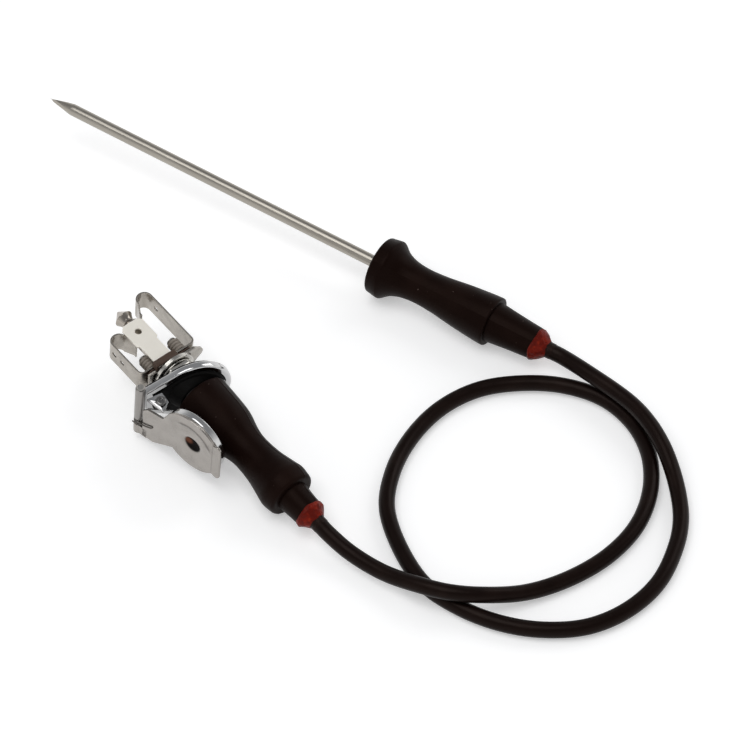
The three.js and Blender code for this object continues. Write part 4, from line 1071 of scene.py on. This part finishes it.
pin_rim = PIN_RADIUS + 0.5
pin_head = [(0, 0.4), (pin_rim - 0.2, 0.4), (pin_rim, 0.2), (pin_rim, 0), (PIN_RADIUS, 0)]
pin_section = [
    *[(radius, hinge_low - SEAT - z) for radius, z in pin_head],
    *[(radius, HINGE_TOP + SEAT + z) for radius, z in pin_head[::-1]],
]
pin = turned("hinge_pin_headed", pin_section, hinge @ upright, sides=48)
fit(pin, "hinge_pin", "bezel", rivet_steel)

# ---- Lid ------------------------------------------------------------------------------------------------
# Pressed chromed steel: a disc with a broad thumb tab bent a little outwards, an arm to its knuckle, an oval
# dimple where the cup is riveted on, and an arc pressed in for stiffness. Its cup, with a rolled rim and a
# rubber seal in it, closes over the socket.
LID_ANGLE = 80
LID_RADIUS = 11.8
LID_CENTRE = 22.2
LID_RISE = 4.4
LID_FACE = 1.1
LID_SHELL = 0.8
LID_TAB_HALF = 7.5
LID_TAB_END = 34.4
LID_TAB_CORNER = 1.6
LID_NECK = (10.4, 6.4)  # where the disc runs over into the arm
DIMPLE_CENTRE = LID_CENTRE + 0.6
DIMPLE_HALF = (3.4, 3.0)
DIMPLE_DEPTH = 0.7
ARC_RADIUS = 8.3
ARC_MIDDLE = 75  # degrees round the disc, with as many as ARC_HALF to each side
ARC_HALF = 62
ARC_WIDTH = 0.55
ARC_HEIGHT = 0.22
FOLD_LINE = 31
FOLD_SLOPE = 0.05
CUP_RADIUS = 11.3
CUP_DEPTH = 2.5
CUP_WALL = 0.7
CUP_BEND = 0.9
CUP_CURL = 0.37  # radius of its rolled rim
lid = hinge @ Matrix.Rotation(math.radians(BEZEL_LEAN - LID_ANGLE), 4, "Y")


def lid_outline():
    """The lid's outline, closely pointed, from the lower knuckle round the disc and the tab."""
    tab_angle = math.degrees(math.asin(LID_TAB_HALF / LID_RADIUS))
    clear = KNUCKLE_RADIUS + 0.6
    foot, heel = (clear, hinge_low + 0.3), (clear + 4.5, hinge_low + 0.6)
    corner, side = LID_TAB_CORNER, LID_TAB_END - LID_TAB_CORNER
    low, high = LID_RISE - LID_TAB_HALF, LID_RISE + LID_TAB_HALF
    disc_low = arc(LID_CENTRE, LID_RISE, LID_RADIUS, -128, -tab_angle, 40)
    disc_high = arc(LID_CENTRE, LID_RISE, LID_RADIUS, tab_angle, 142, 60)
    return [
        *spread(foot, heel, 6), *spread(heel, disc_low[0], 6), *disc_low,
        *arc(side, low + corner - 0.6, corner, -125, 0, 12),
        *spread((LID_TAB_END, low + corner + 0.2), (LID_TAB_END, high - corner - 0.2), 10),
        *arc(side, high - corner + 0.6, corner, 0, 100, 8),
        *disc_high, *spread(disc_high[-1], LID_NECK, 5)[1:], *spread(LID_NECK, (clear + 2, 5.2), 6),
        *spread((clear + 2, 5.2), (clear, 3), 4), *spread((clear, 3), foot, 16),
    ]


def relief(x, y):
    """How high the lid's pressed face stands over its plane."""
    u, v = (x - DIMPLE_CENTRE) / DIMPLE_HALF[0], (y - LID_RISE) / DIMPLE_HALF[1]
    dimple = math.exp(-((u**2 + v**2) ** 2))
    ring = math.hypot(x - LID_CENTRE, y - LID_RISE)
    turn = math.degrees(math.atan2(y - LID_RISE, x - LID_CENTRE))
    fade = 1 / (1 + math.exp((abs(turn - ARC_MIDDLE) - ARC_HALF) / 5))
    emboss = math.exp(-(((ring - ARC_RADIUS) / ARC_WIDTH) ** 2)) * fade
    return -DIMPLE_DEPTH * dimple + ARC_HEIGHT * emboss + max(0.0, x - FOLD_LINE) * FOLD_SLOPE


def lid_shell():
    edge = lid_outline()
    rings = []

    def ring(inset, share, height, side):
        """The outline drawn in, its share of the way from the middle, raised by the relief times side."""
        points = []
        for x, y in edge:
            dx, dy = x - LID_CENTRE, y - LID_RISE
            scale = (1 - inset / math.hypot(dx, dy)) * share
            px, py = LID_CENTRE + dx * scale, LID_RISE + dy * scale
            points.append(at(lid, px, py, height + relief(px, py) * side))
        rings.append(points)

    bottom = LID_FACE - LID_SHELL
    shares = [0.02, *np.linspace(0.06, 0.98, 47)]
    for share in shares:
        ring(0.3, share, LID_FACE, 1)
    for x, y in arc(0.3, LID_FACE - 0.3, 0.3, 90, 0, 3):
        ring(0.6 - x, 1, y, 1)
    for x, y in arc(0.2, bottom + 0.2, 0.2, 0, -90, 2):
        ring(0.4 - x, 1, y, 1)
    for share in shares[::-1]:
        ring(0.3, share, bottom, 0.2)
    return ring_skin("lid_shell", rings, sharp=45)


def lid_finish():
    """Warm grey satin chrome, with painted shade in the dimple, where a copper rivet shows, and beside the
    arc and along the fold.
    """
    skin = Finish("satin_chrome", {"Specular IOR Level": 0.05})
    middle = at(lid, LID_CENTRE, LID_RISE, LID_FACE)
    outward = lid.to_3x3() @ Vector((1, 0, 0))
    turn = math.radians(ARC_MIDDLE)
    upward = lid.to_3x3() @ Vector((math.cos(turn), math.sin(turn), 0))
    cloud = skin.noise(5, 3)
    marks = skin.noise(0.4, 2)
    from_dimple = skin.distance(at(lid, DIMPLE_CENTRE, LID_RISE, LID_FACE - 0.5))
    from_rivet = skin.distance(at(lid, LID_CENTRE - 1.3, LID_RISE + 0.5, LID_FACE - 0.5))
    # Painted shade: the dimple is near-black and not metal, as if in deep shade; a copper rivet's end shows
    # in it.
    painted_pit_shade = 1 - from_dimple.above(2.7 * MM, 3.5 * MM)
    rivet = 1 - from_rivet.above(0.7 * MM, 2.2 * MM)
    from_middle = skin.distance(middle)
    # Painted shade: a dark band along the pressed arc, on its upper side only.
    arc_shade_band = from_middle.above(6.9 * MM, 8.1 * MM) - from_middle.above(8.3 * MM, 9.2 * MM)
    painted_arc_shade = arc_shade_band * skin.along(upward, middle).above(4.4 * MM, 6.4 * MM)
    past = skin.along(outward, middle)
    # Painted shade: a thin dark line along the fold, where the lid's face bends.
    painted_fold_shade = past.above(8.5 * MM, 8.8 * MM) - past.above(8.8 * MM, 9.3 * MM)
    plain = skin.mix(cloud.above(0.35, 0.75), (0.37, 0.345, 0.32, 1), (0.32, 0.298, 0.275, 1))
    plain_with_painted_shade = skin.mix(painted_arc_shade * 0.75 + painted_fold_shade * 0.35, plain, (0.09, 0.08, 0.072, 1))
    pit_shade_and_rivet = skin.mix(rivet, (0.006, 0.0045, 0.004, 1), (0.13, 0.05, 0.028, 1))
    skin.link("Base Color", skin.mix(painted_pit_shade, plain_with_painted_shade, pit_shade_and_rivet))
    skin.link("Metallic", 1 - painted_pit_shade)
    skin.link("Roughness", 0.2 + cloud * 0.12 + marks.above(0.6, 0.75) * 0.06 + painted_pit_shade * 0.5)
    skin.bump(marks + 2 * cloud, 0.01)
    return skin


arm_outline = [(1.0, LID_FACE), (4.2, LID_FACE), (4.2, LID_FACE - LID_SHELL), (1.2, LID_FACE - LID_SHELL)]
lid_pressing = joined(
    "lid_pressing", lid_shell(), knuckle("lower_barrel", lid, hinge_low, LID_KNUCKLE, 0.25),
    prism("lid_arm", arm_outline, hinge_low + 0.1, hinge_low + LID_KNUCKLE - 0.1, lid),
)
cup_top = LID_FACE - LID_SHELL - SEAT
cup_floor = cup_top - CUP_WALL
rim = cup_top - CUP_DEPTH
cup_section = [
    (0, cup_top), (CUP_RADIUS - CUP_BEND, cup_top),
    *arc(CUP_RADIUS - CUP_BEND, cup_top - CUP_BEND, CUP_BEND, 90, 0, 6)[1:],
    (CUP_RADIUS - 0.05, rim + 0.75), *arc(CUP_RADIUS - CUP_CURL, rim + CUP_CURL, CUP_CURL, 20, -200, 12),
    (CUP_RADIUS - CUP_WALL, rim + 0.8), (CUP_RADIUS - CUP_WALL, cup_floor - 0.3),
    (CUP_RADIUS - CUP_WALL - 0.3, cup_floor), (0, cup_floor),
]
cup = turned("lid_cup_drawn", cup_section, moved(lid, LID_CENTRE, LID_RISE, 0), sides=144)
fit(lid_pressing, "lid_plate", "lid", lid_finish())
fit(cup, "lid_cup", "lid", chrome)
rubber.on(soften("lid_seal", 0.2, 3))

# ---- Lid's ear, screw and spring ------------------------------------------------------------------------
# A small folded ear stands square to the hinge line with a recessed screw through it. A coil of spring wire
# round the pin closes the lid, with one leg hooked through the lid's hole.
SPRING_WIRE = 0.25
SPRING_RADIUS = 1.4
SPRING_TURNS = 2
SPRING_PITCH = 0.95
TURN_STEPS = 16
HOOK_X, HOOK_Y = 6.5, -2.3

chrome.on(soften("lid_ear", 0.12))
plated("screw_steel", (0.2, 0.195, 0.19), 0.22, 0.2).on(soften("ear_screw", 0.1))
coil_top = knuckle_low - (SPRING_GAP - SPRING_TURNS * SPRING_PITCH) / 2
over = LID_FACE + SPRING_WIRE + 0.1
coil = []
for i in range(TURN_STEPS * SPRING_TURNS + 1):
    turns = i / TURN_STEPS
    angle = math.pi / 2 + 2 * math.pi * turns
    x, z = SPRING_RADIUS * math.cos(angle), SPRING_RADIUS * math.sin(angle)
    coil.append((x, coil_top - SPRING_PITCH * turns, z))
wire_points = [
    (HOOK_X, HOOK_Y, LID_FACE - LID_SHELL), (HOOK_X, HOOK_Y, over - 0.1),
    (HOOK_X - 0.6, HOOK_Y - 0.3, over + 0.05), (2.8, coil_top + 0.1, over + 0.05), *coil,
    (-1.5, coil_top - SPRING_TURNS * SPRING_PITCH, SPRING_RADIUS),
]
spring = swept("closing_spring", [at(lid, *p) for p in through(wire_points, 4)], SPRING_WIRE * MM, 16)
spring_steel = plated("oiled_spring_steel", (0.13, 0.12, 0.11), 0.3, 0.2)
fit(spring, "hinge_spring", "lid", spring_steel)

# ---- Pieces inside the handles --------------------------------------------------------------------------
# The thermistor bead and its two bare leads in the needle, the crimp that joins needle and cable, the ends of
# the cable's jacket, and the jack's lugs and cores. None shows from outside.
glaze_shades = (0.42, 0.36, 0.27), (0.56, 0.5, 0.4)
ceramic = mottled("bead_glaze", {"Specular IOR Level": 0.4}, (0.8, 2), *glaze_shades, 0.5, 0.35, 0.3)
copper_shades = (0.48, 0.2, 0.08), (0.72, 0.36, 0.2)
copper = mottled("bare_copper", {"Metallic": 1}, (2, 3), *copper_shades, 0.6, 0.25, 0.25)
ceramic.on(soften("thermistor_bead", 0.02))
for node in ("sensor_lead_a", "sensor_lead_b", "tip_core", "sleeve_core"):
    copper.on(soften(node, 0.03))
jacket.on(soften("probe_cable_end", 0.1), soften("plug_cable_end", 0.1))
rivet_steel.on(soften("needle_crimp", 0.08))
frame_nickel.on(soften("tip_lug", 0.06), soften("sleeve_lug", 0.06))

# ---- Studio ---------------------------------------------------------------------------------------------
# A pale table under two broad soft lamps, with a white horizon and a grey sky overhead, so that polished
# metal shows bright and dark bands. The table looks white to the camera and in metal, and keeps the shadows.
FLOOR_SPAN = 6


class Sky(Finish):
    """The world's background, made with the same nodes."""

    def __init__(self):
        world = bpy.data.worlds.new("studio_sky")
        world.use_nodes = True
        bpy.context.scene.world = world
        self.tree = world.node_tree
        self.shader = self.tree.nodes["Background"]


sky = Sky()
direction = sky.node("ShaderNodeTexCoord", output="Generated")
height = sky.node("ShaderNodeSeparateXYZ", None, {0: direction}, output="Z")
sky.link("Color", sky.mix(height.above(0.05, 0.8), (1, 1, 1, 1), (0.3, 0.305, 0.315, 1)))

bpy.ops.mesh.primitive_plane_add(size=FLOOR_SPAN, location=(0, 0, 0))
floor = bpy.context.object
floor.name = "studio_table"
table = Finish("pale_table", {"Base Color": (0.86, 0.86, 0.86, 1), "Specular IOR Level": 0.1,
                              "Emission Strength": 1})
camera_ray, glossy_ray, clear_ray = [
    table.node("ShaderNodeLightPath", output=f"Is {ray} Ray") for ray in ("Camera", "Glossy", "Transmission")
]
seen = camera_ray.math("MINIMUM", camera_ray + glossy_ray + clear_ray, 1)
table.link("Emission Color", table.mix(seen, (0, 0, 0, 1), (0.35, 0.35, 0.35, 1)))
table.link("Roughness", 0.85 + table.noise(30, 2) * 0.1)
table.on(floor)

for name, place, size, watts in (
    ("broad_softbox", (-0.35, -0.25, 1.5), 1.1, 9.0),
    ("side_softbox", (0.9, 0.7, 0.9), 0.7, 3.0),
):
    lamp_data = bpy.data.lights.new(name, "AREA")
    lamp_data.size = size
    lamp_data.energy = watts
    lamp = bpy.data.objects.new(name, lamp_data)
    bpy.context.scene.collection.objects.link(lamp)
    lamp.location = place
    lamp.rotation_euler = (Vector(place) - SEEN_AT_MIDDLE).to_track_quat("Z", "Y").to_euler()
